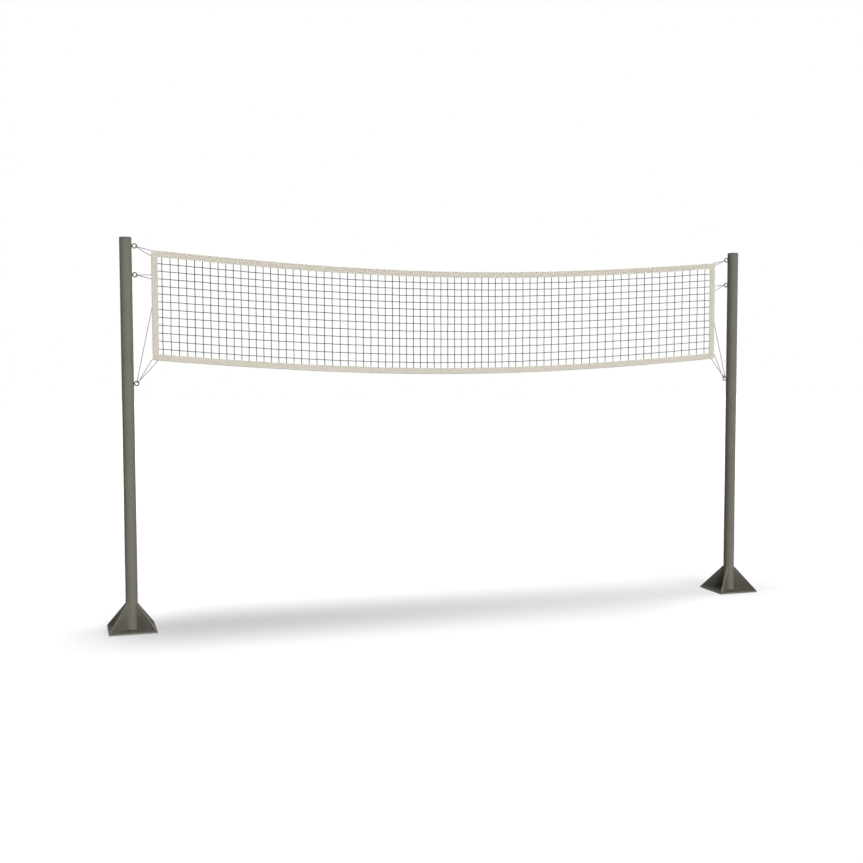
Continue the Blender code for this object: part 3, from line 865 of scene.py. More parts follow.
def makeCap(side):
    node, make = side + "_end_cap", capMake
    low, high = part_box(node)
    radius, top = tubeRadius(side), high.z
    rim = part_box(side + "_post_tube")[1].z + touchGap
    plug = radius - tubeMake["wall"] - touchGap
    hollow, foot = plug - make["wall"], plug - make["taper"]
    roof, shoulder = rim + make["wall"], radius - make["edgeRadius"]
    lip, gate, inside, outside = make["lipRounding"], make["gateRadius"], *make["footRounding"]
    edge = [(shoulder + make["edgeRadius"] * math.cos(angle),
             top - make["crown"] - make["edgeRadius"] * (1 - math.sin(angle)))
            for angle in np.linspace(0, quarter, make["edgeSteps"])]
    crown = [(shoulder * share, top - make["crown"] * share ** 2) for share in make["crownShares"]]
    rings = [(plug * 0.5, roof), (hollow - make["fillet"], roof), (hollow, roof - make["fillet"]),
             (hollow - make["taper"], low.z + inside), (hollow - make["taper"] + inside, low.z),
             (foot - outside, low.z), (foot, low.z + outside), (plug, rim - inside), (plug, rim),
             (radius - lip, rim), (radius - lip * 0.3, rim + lip * 0.3), (radius, rim + lip), *edge, *crown,
             (gate * make["gateRim"][0], top - make["gateRim"][1]), (gate, top - make["gateDepth"]),
             (gate * make["gateFloor"], top - make["gateDepth"])]
    cap = turnOnLathe(side + "_cap_moulded", rings, make["sides"])
    moveTo(cap, (postAxis(side), 0, 0), (0, 0, 0))
    points = readPoints(cap)
    out = np.hypot(points[:, 0] - postAxis(side), points[:, 1])
    markWear(cap, ((points[:, 2] > rim) & (out > shoulder + 0.001)).astype(float))
    finishPiece(cap, "plastic", 40, node)


# Eye bolts and the threaded inserts that they screw into

eyeMake = {"ringRadius": 0.0135, "wireRadius": 0.00345, "ringReach": 0.01675, "ringSteps": (96, 32),
           "collarRadius": 0.0075, "collarThickness": 0.0027, "seatEdge": 0.0005, "frontEdge": 0.0007,
           "crownShare": 0.78, "neckFillet": (0.001, 0.0015), "neckReach": 0.0062, "neckRadius": 0.0030,
           "neckTip": 0.0004,
           "grain": 0.00032, "smoothing": 5, "shankRadius": 0.004, "shankLength": 0.014, "shankSteps": 90,
           "shankSides": 28, "inCollar": 0.0012, "shankChamfer": 0.0008, "smoothNeck": 0.0022,
           "threadPitch": 0.00125, "threadDepth": 0.0006}


def forgedEye():
    # ring, neck and collar as one forging: its seat lies at x = 0 and its ring points along +X
    make = eyeMake
    clearSelection()
    bpy.ops.mesh.primitive_torus_add(major_radius=make["ringRadius"], minor_radius=make["wireRadius"],
                                     major_segments=make["ringSteps"][0], minor_segments=make["ringSteps"][1],
                                     location=(make["ringReach"], 0, 0), rotation=(quarter, 0, 0))
    ring = takeNew("forged_ring")
    collar, thickness, neckRadius = make["collarRadius"], make["collarThickness"], make["neckRadius"]
    seatEdge, frontEdge, (filletOut, filletRise) = make["seatEdge"], make["frontEdge"], make["neckFillet"]
    rings = [(collar * 0.5, 0.0), (collar - seatEdge, 0.0), (collar, seatEdge),
             (collar, thickness - frontEdge), (collar - frontEdge, thickness),
             (collar * make["crownShare"], thickness + seatEdge),
             (neckRadius + filletOut, thickness + filletRise), (neckRadius, make["neckReach"]),
             (neckRadius * 0.5, make["neckReach"] + make["neckTip"])]
    neck = turnOnLathe("forged_neck", rings, 48)
    moveTo(neck, (0, 0, 0), (0, quarter, 0))
    forging = joinInto("forging", [ring, neck])
    applyModifier(forging, "REMESH", mode="VOXEL", voxel_size=make["grain"], adaptivity=0.0)
    applyModifier(forging, "SMOOTH", factor=0.5, iterations=make["smoothing"])
    points = readPoints(forging)
    points[:, 0] = np.maximum(points[:, 0], 0.0)
    writePoints(forging, points)
    return forging


def threadedShank():
    # a smooth neck under the seat, then the thread, cut as a screw line round a turned rod
    make = eyeMake
    radius, length = make["shankRadius"], make["shankLength"]
    heights = np.linspace(-length, make["inCollar"], make["shankSteps"])
    rings = [(radius - make["shankChamfer"], heights[0])] + [(radius, height) for height in heights[1:]]
    shank = turnOnLathe("shank", rings, make["shankSides"])
    points = readPoints(shank)
    turns = points[:, 2] / make["threadPitch"] + np.arctan2(points[:, 1], points[:, 0]) / math.tau
    tooth = np.abs((turns - np.floor(turns)) * 2 - 1)
    threaded = (points[:, 2] < -make["smoothNeck"]) & (points[:, 2] > -length + 0.0001)
    out = np.hypot(points[:, 0], points[:, 1])
    share = (out - make["threadDepth"] * (1 - tooth) * threaded) / np.maximum(out, 1e-9)
    points[:, :2] *= np.where(out > radius * 0.5, share, 1.0)[:, None]
    writePoints(shank, points)
    moveTo(shank, (0, 0, 0), (0, quarter, 0))
    return shank


def makeEyes():
    shank, master = threadedShank(), forgedEye()
    combine(master, shank, "UNION")
    # ropes rub the far inside of the ring
    ringX, points = eyeMake["ringReach"], readPoints(master)
    inside = eyeMake["ringRadius"] - np.hypot(points[:, 0] - ringX, points[:, 2])
    far = np.clip((points[:, 0] - ringX) / eyeMake["ringRadius"], 0, 1)
    markWear(master, np.clip(inside / eyeMake["wireRadius"], 0, 1) * far)
    for side, sign in sideSigns.items():
        for level in levels:
            node = f"{side}_{level}_eye_bolt"
            eye = master.copy()
            eye.data = master.data.copy()
            eye.name = eye.data.name = f"{side}_{level}_eye_forged"
            bpy.context.scene.collection.objects.link(eye)
            moveTo(eye, (netwardEnd(node, side) + sign * 2 * ringX, 0, middleOf(node, 2)),
                   (0, 0, 0 if side == "left" else math.pi))
            finishPiece(eye, "steel", 50, node, body=f"{side}_{level}_eye")
    bpy.data.objects.remove(master)


insertMake = {"sides": 40, "bore": 0.0043, "outer": 0.0055, "headRadius": 0.0065, "headDepth": 0.0012,
              "headChamfer": 0.0002, "bulge": 0.0017, "bulgeShoulder": (0.7, 0.5), "bulgeLength": 0.0032,
              "bulgeGap": 0.0009, "chamfer": 0.0003}


def makeInserts():
    make = insertMake
    bore, outer, bulge, chamfer = (make[key] for key in ("bore", "outer", "bulge", "chamfer"))
    shoulderOut, shoulderRise = make["bulgeShoulder"]
    for side, sign in sideSigns.items():
        for level in levels:
            node = f"{side}_{level}_insert"
            low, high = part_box(node)
            length = high.x - low.x
            # heights run from the inner end to the head, and the bulge clamps the tube's wall from inside
            innerEnd = abs(netwardEnd(node, side) - postAxis(side)) - length
            bulgeTop = tubeRadius(side) - tubeMake["wall"] - touchGap - make["bulgeGap"] - innerEnd
            bulgeLow = bulgeTop - make["bulgeLength"]
            rings = [(bore, 0.0), (outer - chamfer, 0.0), (outer, chamfer), (outer, bulgeLow),
                     (outer + bulge * shoulderOut, bulgeLow + bulge * shoulderRise),
                     (outer + bulge, bulgeLow + bulge),
                     (outer + bulge, bulgeTop), (outer, bulgeTop), (outer, length - make["headDepth"]),
                     (make["headRadius"], length - chamfer),
                     (make["headRadius"] - make["headChamfer"], length),
                     (bore + chamfer, length), (bore, length - chamfer)]
            insert = turnOnLathe(f"{side}_{level}_insert_plated", rings, make["sides"], closed=True)
            moveTo(insert, (low.x if side == "left" else high.x, 0, (low.z + high.z) / 2),
                   (0, -sign * quarter, 0))
            finishPiece(insert, "zinc", 30, node)


# The net's outline, read from the frame's tapes

tapeMake = {"width": 0.040, "wall": 0.0012, "sleeveRadius": 0.0037, "fullHalf": 0.00325, "holeRadius": 0.0031,
            "slitRadius": 0.0026, "punchDepth": 0.006, "punchSides": 28, "cornerKeep": (0.053, 0.068),
            "soilFrom": 0.003, "soilReach": 0.012, "seamEnd": 0.003}
topLow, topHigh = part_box("top_tape")
netCentre = (topLow.x + topHigh.x) / 2
netHalf = (topHigh.x - topLow.x) / 2
netTop = topHigh.z  # at the two corners
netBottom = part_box("bottom_tape")[1].z - tapeMake["width"]
netSag = topHigh.z - topLow.z - tapeMake["width"]
# a long tape's height at the corners, and which way it lies from there
tapeEdges = {"top": (netTop, -1), "bottom": (netBottom, 1)}


def sagAt(x):
    across = (x - netCentre) / netHalf
    return netSag * (1 - (np.sqrt(1 + across ** 2) - 1) / (math.sqrt(2) - 1))


def netEdge(side, inset=0.0):
    return netCentre + sideSigns[side] * (netHalf - inset)


# Netting

netMake = {
    "twineRadius": 0.0025, "firstCord": -1.944, "lastCord": 1.937, "cords": 74, "rows": 12,
    # mesh width at places along the net: it was drawn tighter on the left half than on the right
    "meshWidths": ((-1.95, 0.0520), (-1.40, 0.0480), (-0.80, 0.0540), (-0.40, 0.0490), (0.20, 0.0495),
                   (0.68, 0.0545), (0.90, 0.0610), (1.95, 0.0615)),
    "selvedgeDepth": 0.021, "topGap": (0.84, 0.72), "bottomGap": (0.70, 0.82),
    # how much higher the rows at half height stand than even ones: at the net's ends, and more in its middle
    "rowLift": (0.004, 0.013),
    "pointsPerMesh": 4, "jitter": 0.00045, "outOfPlane": 0.4, "slack": 0.0004, "seed": 5,
    "knotSize": (0.0080, 0.0070, 0.0080), "knotRoundness": 0.9, "knotCore": 0.6, "knotLobes": 0.13,
    "knotTurn": (0.12, 0.08),
    "sewnFlat": 0.42, "sewnSpan": (0.037, 0.041),
}


def cordPlaces():
    # the widths are added up along the net and then stretched to end at the last cord
    places, widths = zip(*netMake["meshWidths"])
    row = [netMake["firstCord"]]
    for _ in range(netMake["cords"] - 1):
        row.append(row[-1] + float(np.interp(row[-1], places, widths)))
    row = np.array(row)
    stretch = (netMake["lastCord"] - row[0]) / (row[-1] - row[0])
    return row[0] + (row - row[0]) * stretch


def knotGrid():
    depth, width = netMake["selvedgeDepth"], tapeMake["width"]
    columns = np.concatenate([[netEdge("left", depth)], cordPlaces(), [netEdge("right", depth)]])
    # the rows next to the long tapes stand closer to them than to each other, but not evenly
    share = (columns - columns[0]) / (columns[-1] - columns[0])
    first, last = (start + (end - start) * share[:, None]
                   for start, end in (netMake["topGap"], netMake["bottomGap"]))
    steps = (first + np.arange(netMake["rows"])) / (first + netMake["rows"] - 1 + last)
    grid = np.zeros((len(columns), netMake["rows"] + 2, 3))
    grid[:, :, 0] = columns[:, None]
    grid[:, 0, 2], grid[:, -1, 2] = netTop - depth, netBottom + depth
    grid[:, 1:-1, 2] = netTop - width - (netTop - netBottom - 2 * width) * steps
    lift = netMake["rowLift"][0] + netMake["rowLift"][1] * (1 - (2 * share - 1) ** 4)
    grid[:, 1:-1, 2] += lift[:, None] * np.sin(np.pi * np.linspace(0, 1, netMake["rows"]))
    grid[:, :, 2] -= sagAt(columns)[:, None]
    shift = np.random.default_rng(netMake["seed"]).normal(0, netMake["jitter"], grid.shape)
    shift[:, :, 1] *= netMake["outOfPlane"]
    shift[[0, -1]] = 0
    shift[:, [0, -1]] = 0
    return grid + shift


def cordThrough(knots, rng):
    # a cord from knot to knot, a little slack between them
    count = netMake["pointsPerMesh"]
    points = []
    for start, end in zip(knots, knots[1:]):
        slack = rng.normal(0, netMake["slack"], 3)
        for step in range(count):
            share = step / count
            points.append(start + (end - start) * share + slack * math.sin(math.pi * share))
    points.append(knots[-1])
    return np.array(points)


def knotShape():
    # one twine knot: a cube cut in four on each side, rounded, with its corners turned into a crossing lump
    clearSelection()
    bpy.ops.mesh.primitive_cube_add(size=1)
    knot = takeNew("knot_shape")
    inEditMode(knot, lambda: bpy.ops.mesh.subdivide(number_cuts=1, smoothness=netMake["knotRoundness"]))
    points = readPoints(knot)
    points /= np.maximum(np.linalg.norm(points, axis=1), netMake["knotCore"])[:, None] * 2
    lobes = 1 + netMake["knotLobes"] * np.cos(2 * np.arctan2(points[:, 2], points[:, 0]) - quarter)
    points[:, ::2] *= lobes[:, None]
    writePoints(knot, points * np.array(netMake["knotSize"]))
    return knot


def scatter(master, centres, turns):
    # one mesh that holds the master's shape at each centre, turned about Y; the master is taken away
    shape = readPoints(master)
    faces = np.array([list(face.vertices) for face in master.data.polygons])
    cos, sin = np.cos(turns)[:, None], np.sin(turns)[:, None]
    points = np.stack([shape[:, 0] * cos + shape[:, 2] * sin, np.repeat(shape[None, :, 1], len(centres), 0),
                       -shape[:, 0] * sin + shape[:, 2] * cos], 2) + centres[:, None, :]
    numbered = faces[None] + (np.arange(len(centres)) * len(shape))[:, None, None]
    mesh = bpy.data.meshes.new("scattered")
    mesh.from_pydata(points.reshape(-1, 3).tolist(), [], numbered.reshape(-1, faces.shape[1]).tolist())
    mesh.uv_layers.new(name="UVMap")
    thing = bpy.data.objects.new("scattered", mesh)
    bpy.context.scene.collection.objects.link(thing)
    bpy.data.objects.remove(master)
    return thing


def makeNetting():
    rng = np.random.default_rng(netMake["seed"] + 1)
    grid = knotGrid()
    radius = netMake["twineRadius"]
    # the upright cords, then the level ones
    ways = [[cordThrough(row, rng) for row in rows] for rows in (grid, grid.transpose(1, 0, 2))]
    centres = grid.reshape(-1, 3)
    lean, wander = netMake["knotTurn"]
    turns = rng.choice([lean, -lean], len(centres)) + rng.normal(0, wander, len(centres))
    parts = [cordMesh(lines, radius) for lines in ways]
    netting = joinInto("netting_knotted", [*parts, scatter(knotShape(), centres, turns)])
    # what lies between the layers of a tape is sewn flat
    points = readPoints(netting)
    x, z = points[:, 0], points[:, 2] + sagAt(points[:, 0])
    inset = np.minimum(np.minimum(netTop - z, z - netBottom), netHalf - np.abs(x - netCentre))
    points[:, 1] *= eased(inset, netMake["sewnSpan"], (netMake["sewnFlat"], 1.0))
    writePoints(netting, points)
    finishPiece(netting, "twine", 80, "net_mesh")


# Tapes: woven bands folded over the net's edges and sewn. A section is (depth from the fold, half thickness)
# down the folded tape.

longFold = {"columns": 1007, "rows": 34, "seams": (0.0125, 0.0340), "ripple": 0.00022,
            "section": ((0.0037, 0.0037), (0.0080, 0.0034), (0.0125, 0.0024), (0.0165, 0.0027),
                        (0.0210, 0.0031), (0.0270, 0.0025), (0.0340, 0.0020), (0.0400, 0.0022))}
sideFold = {"columns": 160, "rows": 30, "seams": (0.0170, 0.0350), "ripple": 0.00018,
            "section": ((0.00325, 0.00325), (0.0080, 0.00325), (0.0130, 0.0031), (0.0170, 0.0024),
                        (0.0210, 0.0031), (0.0270, 0.0025), (0.0350, 0.0020), (0.0400, 0.0022))}
# how a tape lies over the cords between its layers
cordBulge = {"half": 0.0031, "reach": 0.0042, "fades": 0.004}
# the rates of a tape's two ripples, along it and down it, and the depths between which they set in
clothRipple = {"fine": (310, 420), "lean": 60, "broad": (131, 260), "broadShare": 0.6, "from": (0.004, 0.008)}


def foldHalf(along, depth, fold, low, high, cords, seed):
    # half the thickness of a folded tape that runs from low to high over the cords
    half = eased(depth, *zip(*fold["section"]))
    inner = netMake["selvedgeDepth"]
    nearest = np.min(np.abs(along[..., None] - cords), axis=-1)
    over = np.exp(-(nearest / cordBulge["reach"]) ** 2)
    over = over * eased(depth, (inner, inner + cordBulge["fades"]), (0.0, 1.0))
    half = half + (cordBulge["half"] - half) * over
    (fineAlong, fineDown), (broadAlong, broadDown) = clothRipple["fine"], clothRipple["broad"]
    fine = np.sin(along * fineAlong + seed) * np.sin(depth * fineDown + along * clothRipple["lean"])
    broad = clothRipple["broadShare"] * np.sin(along * broadAlong + 2 * seed) * np.sin(depth * broadDown)
    half = half + fold["ripple"] * (fine + broad) * eased(depth, clothRipple["from"], (0.0, 1.0))
    # at its two ends the tape keeps its full thickness
    keep = eased(np.minimum(along - low, high - along), tapeMake["cornerKeep"], (0.0, 1.0))
    radius, foldThickness = fold["section"][0]
    full = np.where(depth < radius + 0.0005, foldThickness, tapeMake["fullHalf"])
    return np.maximum(full + (half - full) * keep, tapeMake["wall"] + 0.0001)


def foldedTape(name, place, flip, fold, low, high, cords, seed):
    # a flat woven band, laid over the fold: its long side is X of the grid, and its middle line is the fold
    radius = fold["section"][0][0]
    width = 2 * (quarter * radius + tapeMake["width"] - radius)
    clearSelection()
    bpy.ops.mesh.primitive_grid_add(x_subdivisions=fold["columns"], y_subdivisions=fold["rows"], size=1,
                                    calc_uvs=True)
    tape = takeNew(name)
    points = readPoints(tape)
    along = low + (points[:, 0] + 0.5) * (high - low)
    arc = points[:, 1] * width
    angle = np.clip(np.abs(arc) / radius, 0, quarter)
    depth = radius - radius * np.cos(angle) + np.maximum(np.abs(arc) - quarter * radius, 0)
    half = foldHalf(along, depth, fold, low, high, cords, seed)
    across = np.where(angle < quarter, radius * np.sin(angle), half)
    writePoints(tape, place(along, np.sign(arc) * across, depth))
    stretchMap(tape, high - low, width)
    if flip:
        inEditMode(tape, bpy.ops.mesh.flip_normals)
    applyModifier(tape, "SOLIDIFY", thickness=tapeMake["wall"], offset=-1)
    return tape, width


def punchHoles(tape, holes, slits, slitTurn):
    # holes go through the back layer only, slits through the fold; a slit is (place, times longer than wide)
    punch = tapeMake["punchDepth"]
    bits = [(hole + back * (punch / 2), tapeMake["holeRadius"], 1.0, (quarter, 0, 0)) for hole in holes]
    bits += [(slit, tapeMake["slitRadius"], longer, slitTurn) for slit, longer in slits]
    for place, radius, longer, turn in bits:
        bpy.ops.mesh.primitive_cylinder_add(vertices=tapeMake["punchSides"], radius=radius, depth=punch,
                                            location=place, rotation=turn, scale=(longer, 1, 1))
        combine(tape, takeNew("punch"))
    # the cloth is soiled round them, on the side where they are
    away = (readPoints(tape)[:, None] - np.array([place for place, *_ in bits])) * (1, 3, 1)
    near = np.linalg.norm(away, axis=2).min(axis=1)
    markWear(tape, np.clip(1 - (near - tapeMake["soilFrom"]) / tapeMake["soilReach"], 0, 1))


# Where the ropes go into the tapes: nothing of them shows on the front, and the knots are behind. A lashing
# and a tie go in through the side tape's fold and come out at a hole in its back layer. The numbers are
# depths below the net's top.
ties = {"left": {"middle": (0.1575, 0.1830), "slit": 0.369, "hole": 0.344},
        "right": {"middle": (0.1675, 0.2025), "slit": 0.4395, "hole": 0.4145}}
sideHoleInset = 0.010
# The two long ropes leave their sleeve at its end, or through the fold so far in from the side. The end that
# comes back from the eye goes behind the tape at a place on its edge, in at one hole and out at the other to
# the knot.
longTies = {"top": {"left": {"exit": 0.0, "behind": (0.0, 0.037), "holes": (0.012, 0.022)},
                    "right": {"exit": 0.012, "behind": (0.0, 0.020), "holes": (0.012, 0.022)}},
            "bottom": {"left": {"exit": 0.0, "behind": (0.033, 0.0), "holes": (0.040, 0.050)},
                       "right": {"exit": 0.022, "behind": (0.0, 0.042), "holes": (0.012, 0.022)}}}
tieHoleDepth = 0.0235
slitLengths = {"rope": 2.6, "lashing": 1.3, "tie": 3.4}  # times longer than wide


def tapePlace(tape, side, inset, depth):
    edge, inward = tapeEdges[tape]
    x = netEdge(side, inset)
    return Vector((x, 0, edge + inward * depth - sagAt(x)))


def sidePlace(side, inset, depth):
    return Vector((netEdge(side, inset), 0, netTop - depth))


# Sewing

stitchMake = {"length": 0.0034, "pitch": 0.0046, "radius": 0.00038, "lift": 0.00012, "dip": 0.00030,
              "dipFrom": 0.4, "dipWidth": 0.45, "flatStretch": 1.4, "zigzagPitch": 0.0052,
              "zigzagReach": 0.0042, "zigzagInset": 0.002}
eyeletMake = {"gap": 0.0005, "radius": 0.00055, "steps": (72, 6), "threads": 24, "bulge": 0.00022,
              "lift": 0.2, "sunk": 0.0001}


def sewRow(low, high, place):
    # a row of stitches from low to high; place takes along, across and lift, and gives points
    make = stitchMake
    clearSelection()
    bpy.ops.mesh.primitive_cylinder_add(vertices=4, radius=make["radius"], depth=make["length"],
                                        rotation=(0, quarter, 0))
    stitches = takeNew("stitches")
    cutAlong(stitches, 0, 2)
    # each is a four-sided thread along X that dips into the cloth at both ends
    points = readPoints(stitches)
    outer = np.abs(points[:, 0]) > make["length"] * make["dipFrom"]
    points[:, 1:] *= np.where(outer, make["dipWidth"], 1.0)[:, None]
    points[:, 2] += np.where(outer, -make["dip"], make["lift"])
    points[:, 0] *= np.where(outer, 1.0, make["flatStretch"])
    writePoints(stitches, points)
    count = int((high - low) / make["pitch"])
    applyModifier(stitches, "ARRAY", count=count, use_relative_offset=False, use_constant_offset=True,
                  constant_offset_displace=(make["pitch"], 0, 0))
    points = readPoints(stitches)
    start = (low + high - (count - 1) * make["pitch"]) / 2
    writePoints(stitches, place(points[:, 0] + start, points[:, 1], points[:, 2]))
    inEditMode(stitches, faceOutwards)
    return stitches


def zigzagRow(low, high, place):
    # one thread to and fro over a joint, which dips into the cloth at each turn
    make = stitchMake
    step = make["zigzagPitch"] / 2
    route = []
    for number in range(int((high - low) / step)):
        way = 1 if number % 2 else -1
        for share in (0.0, 0.1, 0.5, 0.9):
            lift = make["lift"] if share else -make["dip"]
            route.append((low + (number + share) * step, way * (1 - 2 * share) * make["zigzagReach"], lift))
    return cordMesh([place(*np.array(route).T)], make["radius"])


def eyelet(hole):
    # thread worked round a hole in the back layer
    make = eyeletMake
    inner = tapeMake["holeRadius"] + make["gap"]
    bpy.ops.mesh.primitive_torus_add(major_radius=inner, minor_radius=make["radius"], location=hole,
                                     major_segments=make["steps"][0], minor_segments=make["steps"][1],
                                     rotation=(quarter, 0, 0))
    ring = takeNew("eyelet")
    points = readPoints(ring)
    around = np.arctan2(points[:, 2] - hole.z, points[:, 0] - hole.x)
    wave = np.sin(around * make["threads"])
    out = np.hypot(points[:, 0] - hole.x, points[:, 2] - hole.z)
    out = out + make["bulge"] * wave * (out > inner)
    height = points[:, 1] * (1 + make["lift"] * wave) + tapeMake["fullHalf"] - make["sunk"]
    writePoints(ring, np.stack([hole.x + out * np.cos(around), height, hole.z + out * np.sin(around)], 1))
    return ring


def makeTape(name, seed, fold, low, high, cords, place, flip, holes, slits, slitTurn, joints=()):
    # place(along, across, depth, aside) gives points; aside is a stitch's own step past its seam's depth
    facts = (fold, low, high, cords, seed)
    tape, width = foldedTape(name + "_woven", place, flip, *facts)
    punchHoles(tape, holes, slits, slitTurn)
    finishPiece(tape, "canvas", 50, name)
    rows = []
    for seam in fold["seams"]:
        for front in (-1, 1):
            def onSeam(along, across, lift):
                half = foldHalf(along, np.full_like(along, seam), *facts)
                return place(along, front * (half + lift), seam, across)
            rows.append(sewRow(low + tapeMake["seamEnd"], high - tapeMake["seamEnd"], onSeam))
    for front in (-1, 1):
        for ends in joints:
            def acrossJoint(along, across, lift):
                return place(along, front * (tapeMake["fullHalf"] + lift), tapeMake["width"], across)
            rows.append(zigzagRow(*ends, acrossJoint))
    seams = joinInto(name + "_stitching", [*rows, *(eyelet(hole) for hole in holes)])
    finishPiece(seams, "thread", 60)


def makeLongTape(which, seed):
    edge, inward = tapeEdges[which]
    ways = longTies[which]
    holes = [tapePlace(which, side, inset, tieHoleDepth) for side in ways for inset in ways[side]["holes"]]
    slits = [(tapePlace(which, side, ways[side]["exit"] + tapeMake["seamEnd"], 0), slitLengths["rope"])
             for side in ways if ways[side]["exit"]]
    inset = stitchMake["zigzagInset"]
    joints = [sorted((netEdge(side, inset), netEdge(side, tapeMake["width"] - inset))) for side in sideSigns]

    def onTape(along, across, depth, aside=0.0):
        return np.stack([along, across, edge + inward * (depth + aside) - sagAt(along)], 1)

    makeTape(which + "_tape", seed, longFold, netEdge("left"), netEdge("right"), cordPlaces(), onTape,
             inward > 0, holes, slits, (0, 0, 0), joints)


def makeSideTape(side, seed):
    sign, edgeX, way = sideSigns[side], netEdge(side), ties[side]
    slope = (sagAt(netEdge(side, tapeMake["width"])) - sagAt(edgeX)) / tapeMake["width"]
    low, high = netBottom + tapeMake["width"] + touchGap, netTop - tapeMake["width"] - touchGap
    cords = knotGrid()[0 if side == "left" else -1, 1:-1, 2]
    holes = [sidePlace(side, sideHoleInset, depth) for depth in (*way["middle"], way["hole"])]
    slits = [(sidePlace(side, 0, depth), slitLengths["lashing"]) for depth in way["middle"]]
    slits.append((sidePlace(side, 0, way["slit"]), slitLengths["tie"]))

    def onTape(along, across, depth, aside=0.0):
        return np.stack([edgeX - sign * (depth + aside), across, along - slope * depth], 1)

    makeTape(side + "_tape", seed, sideFold, low, high, cords, onTape,
             sign > 0, holes, slits, (0, quarter, 0))


# Ropes: three strands laid together

ropeMake = {"diameter": 0.0048, "layPitch": 0.0165, "stepsPerPitch": 11, "bend": 0.004, "bightSlack": 0.0013,
            "wrapRadius": 0.0040, "wrapPitch": 0.0042, "wrapSteps": 10, "tail": 0.009, "knotTurns": 2.25,
            "fineStep": 0.0008, "strandFill": 1.03, "beadFill": 1.12, "beadSteps": (16, 10),
            "beadRough": 0.0002, "beadSeed": 3,
            # a stopper knot: its tail's lift, its top over the coil and in from the coil's side
            "tailLift": 0.0006, "crown": (1.3, 0.5), "knotClear": 0.002,
            # where a long rope leaves its tape, in diameters: through the fold, and at the sleeve's end
            "foldRun": 0.010, "foldLead": (0.8, 0.4, 0.5), "endLead": (0.85, 0.55, 0.6), "stations": 42,
            # a lashing's knot, with its tails' way along their own end, the rope and to the back
            "lashingTurns": 2.0, "tailWay": (0.35, 0.8, 0.25),
            # a side tie: how it leaves its slit, and its splice's way along the rope and apart from it
            "slitLead": 0.2, "splice": 0.028, "spliceWay": ((0.4, 0.55), (0.7, 0.2), (1.0, 0.02))}
pulls = {key: math.radians(angle) for key, angle in
         (("headline", -20), ("middle", -7), ("footline", 42), ("side", 80))}
ropeRadius = ropeMake["diameter"] / 2
# how far a rope's middle stands from the middle of a tape, and from that of its sleeve
tapeRest, sleeveRest = (tapeMake[key] + ropeRadius + touchGap for key in ("fullHalf", "sleeveRadius"))
ropeLengths = {}


def bight(side, level, pull):
    # the turn round an eye's wire, from in front of the ring to behind it
    node, sign = f"{side}_{level}_eye_bolt", sideSigns[side]
    outward = Vector((-sign * math.cos(pull), 0, math.sin(pull)))
    ringX = netwardEnd(node, side) + sign * eyeMake["ringReach"]
    wire = Vector((ringX, 0, middleOf(node, 2))) + outward * eyeMake["ringRadius"]
    reach = eyeMake["wireRadius"] + ropeRadius + ropeMake["bightSlack"]
    angles = [math.pi * number / 4 for number in range(5)]
    return [wire - outward * reach * math.sin(angle) - back * reach * math.cos(angle) for angle in angles]


def throughHole(place, towards):
    # along the tape's back, turning into a hole and ending in the middle of the tape
    away = Vector((towards.x - place.x, 0, towards.z - place.z)).normalized()
    bend = ropeMake["bend"]
    angles = [math.pi / 6 * number for number in range(4)]
    return [*(place + away * bend * (1 - math.sin(angle)) + back * (tapeRest - bend * (1 - math.cos(angle)))
              for angle in angles), place]


def wrapRound(start, axis, beside, turns):
    # a helix round an axis, from its foot at start; beside points from the axis to the first point
    cross = axis.cross(beside).normalized()
    steps = ropeMake["wrapSteps"]
    points = []
    for number in range(int(turns * steps) + 1):
        angle = math.tau * number / steps
        out = (beside * math.cos(angle) + cross * math.sin(angle)) * ropeMake["wrapRadius"]
        points.append(start + axis * ropeMake["wrapPitch"] * number / steps + out)
    return points


def stopperKnot(hole, side):
    # from its short tail the rope is wrapped round itself, then turns and runs straight in at the hole
    beside = Vector((-sideSigns[side], 0, 0))
    far = tapeRest + ropeMake["knotTurns"] * ropeMake["wrapPitch"]
    coil = wrapRound(hole + back * far, -back, beside, ropeMake["knotTurns"])
    last = (coil[-1] - coil[-2]).normalized()
    tail = [coil[-1] + last * ropeMake["tail"] * share + back * ropeMake["tailLift"] * share
            for share in (0.5, 1.0)]
    over, inside = ropeMake["crown"]
    crown = hole + back * (far + ropeRadius * over) + beside * ropeMake["wrapRadius"] * inside
    low, high = tapeRest + ropeMake["knotClear"], far - ropeMake["knotClear"]
    return [hole, hole + back * low, hole + back * high, crown, *coil, *tail][::-1]


def smoothLine(route, step, closed=False):
    # a curve through the route, then points at equal steps along it
    route = [np.array(point) for point in route]
    count = len(route)

    def at(number):
        return route[number % count] if closed else route[max(0, min(count - 1, number))]

    fine = []
    for number in range(count if closed else count - 1):
        before, start, end, after = (at(number + offset) for offset in (-1, 0, 1, 2))
        reach = np.linalg.norm(end - start)
        leave = (end - before) / np.linalg.norm(end - before) * reach
        arrive = (after - start) / np.linalg.norm(after - start) * reach
        for t in np.linspace(0, 1, max(4, int(reach / ropeMake["fineStep"])), endpoint=False):
            fine.append(start * (2 * t ** 3 - 3 * t ** 2 + 1) + leave * (t ** 3 - 2 * t ** 2 + t)
                        + end * (3 * t ** 2 - 2 * t ** 3) + arrive * (t ** 3 - t ** 2))
    fine = np.array([*fine, route[0] if closed else route[-1]])
    run = np.concatenate([[0], np.cumsum(np.linalg.norm(np.diff(fine, axis=0), axis=1))])
    places = np.linspace(0, run[-1], max(3, round(run[-1] / step)) + 1)
    if closed:
        places = places[:-1]
    return np.stack([np.interp(places, run, fine[:, axis]) for axis in range(3)], 1), run[-1]


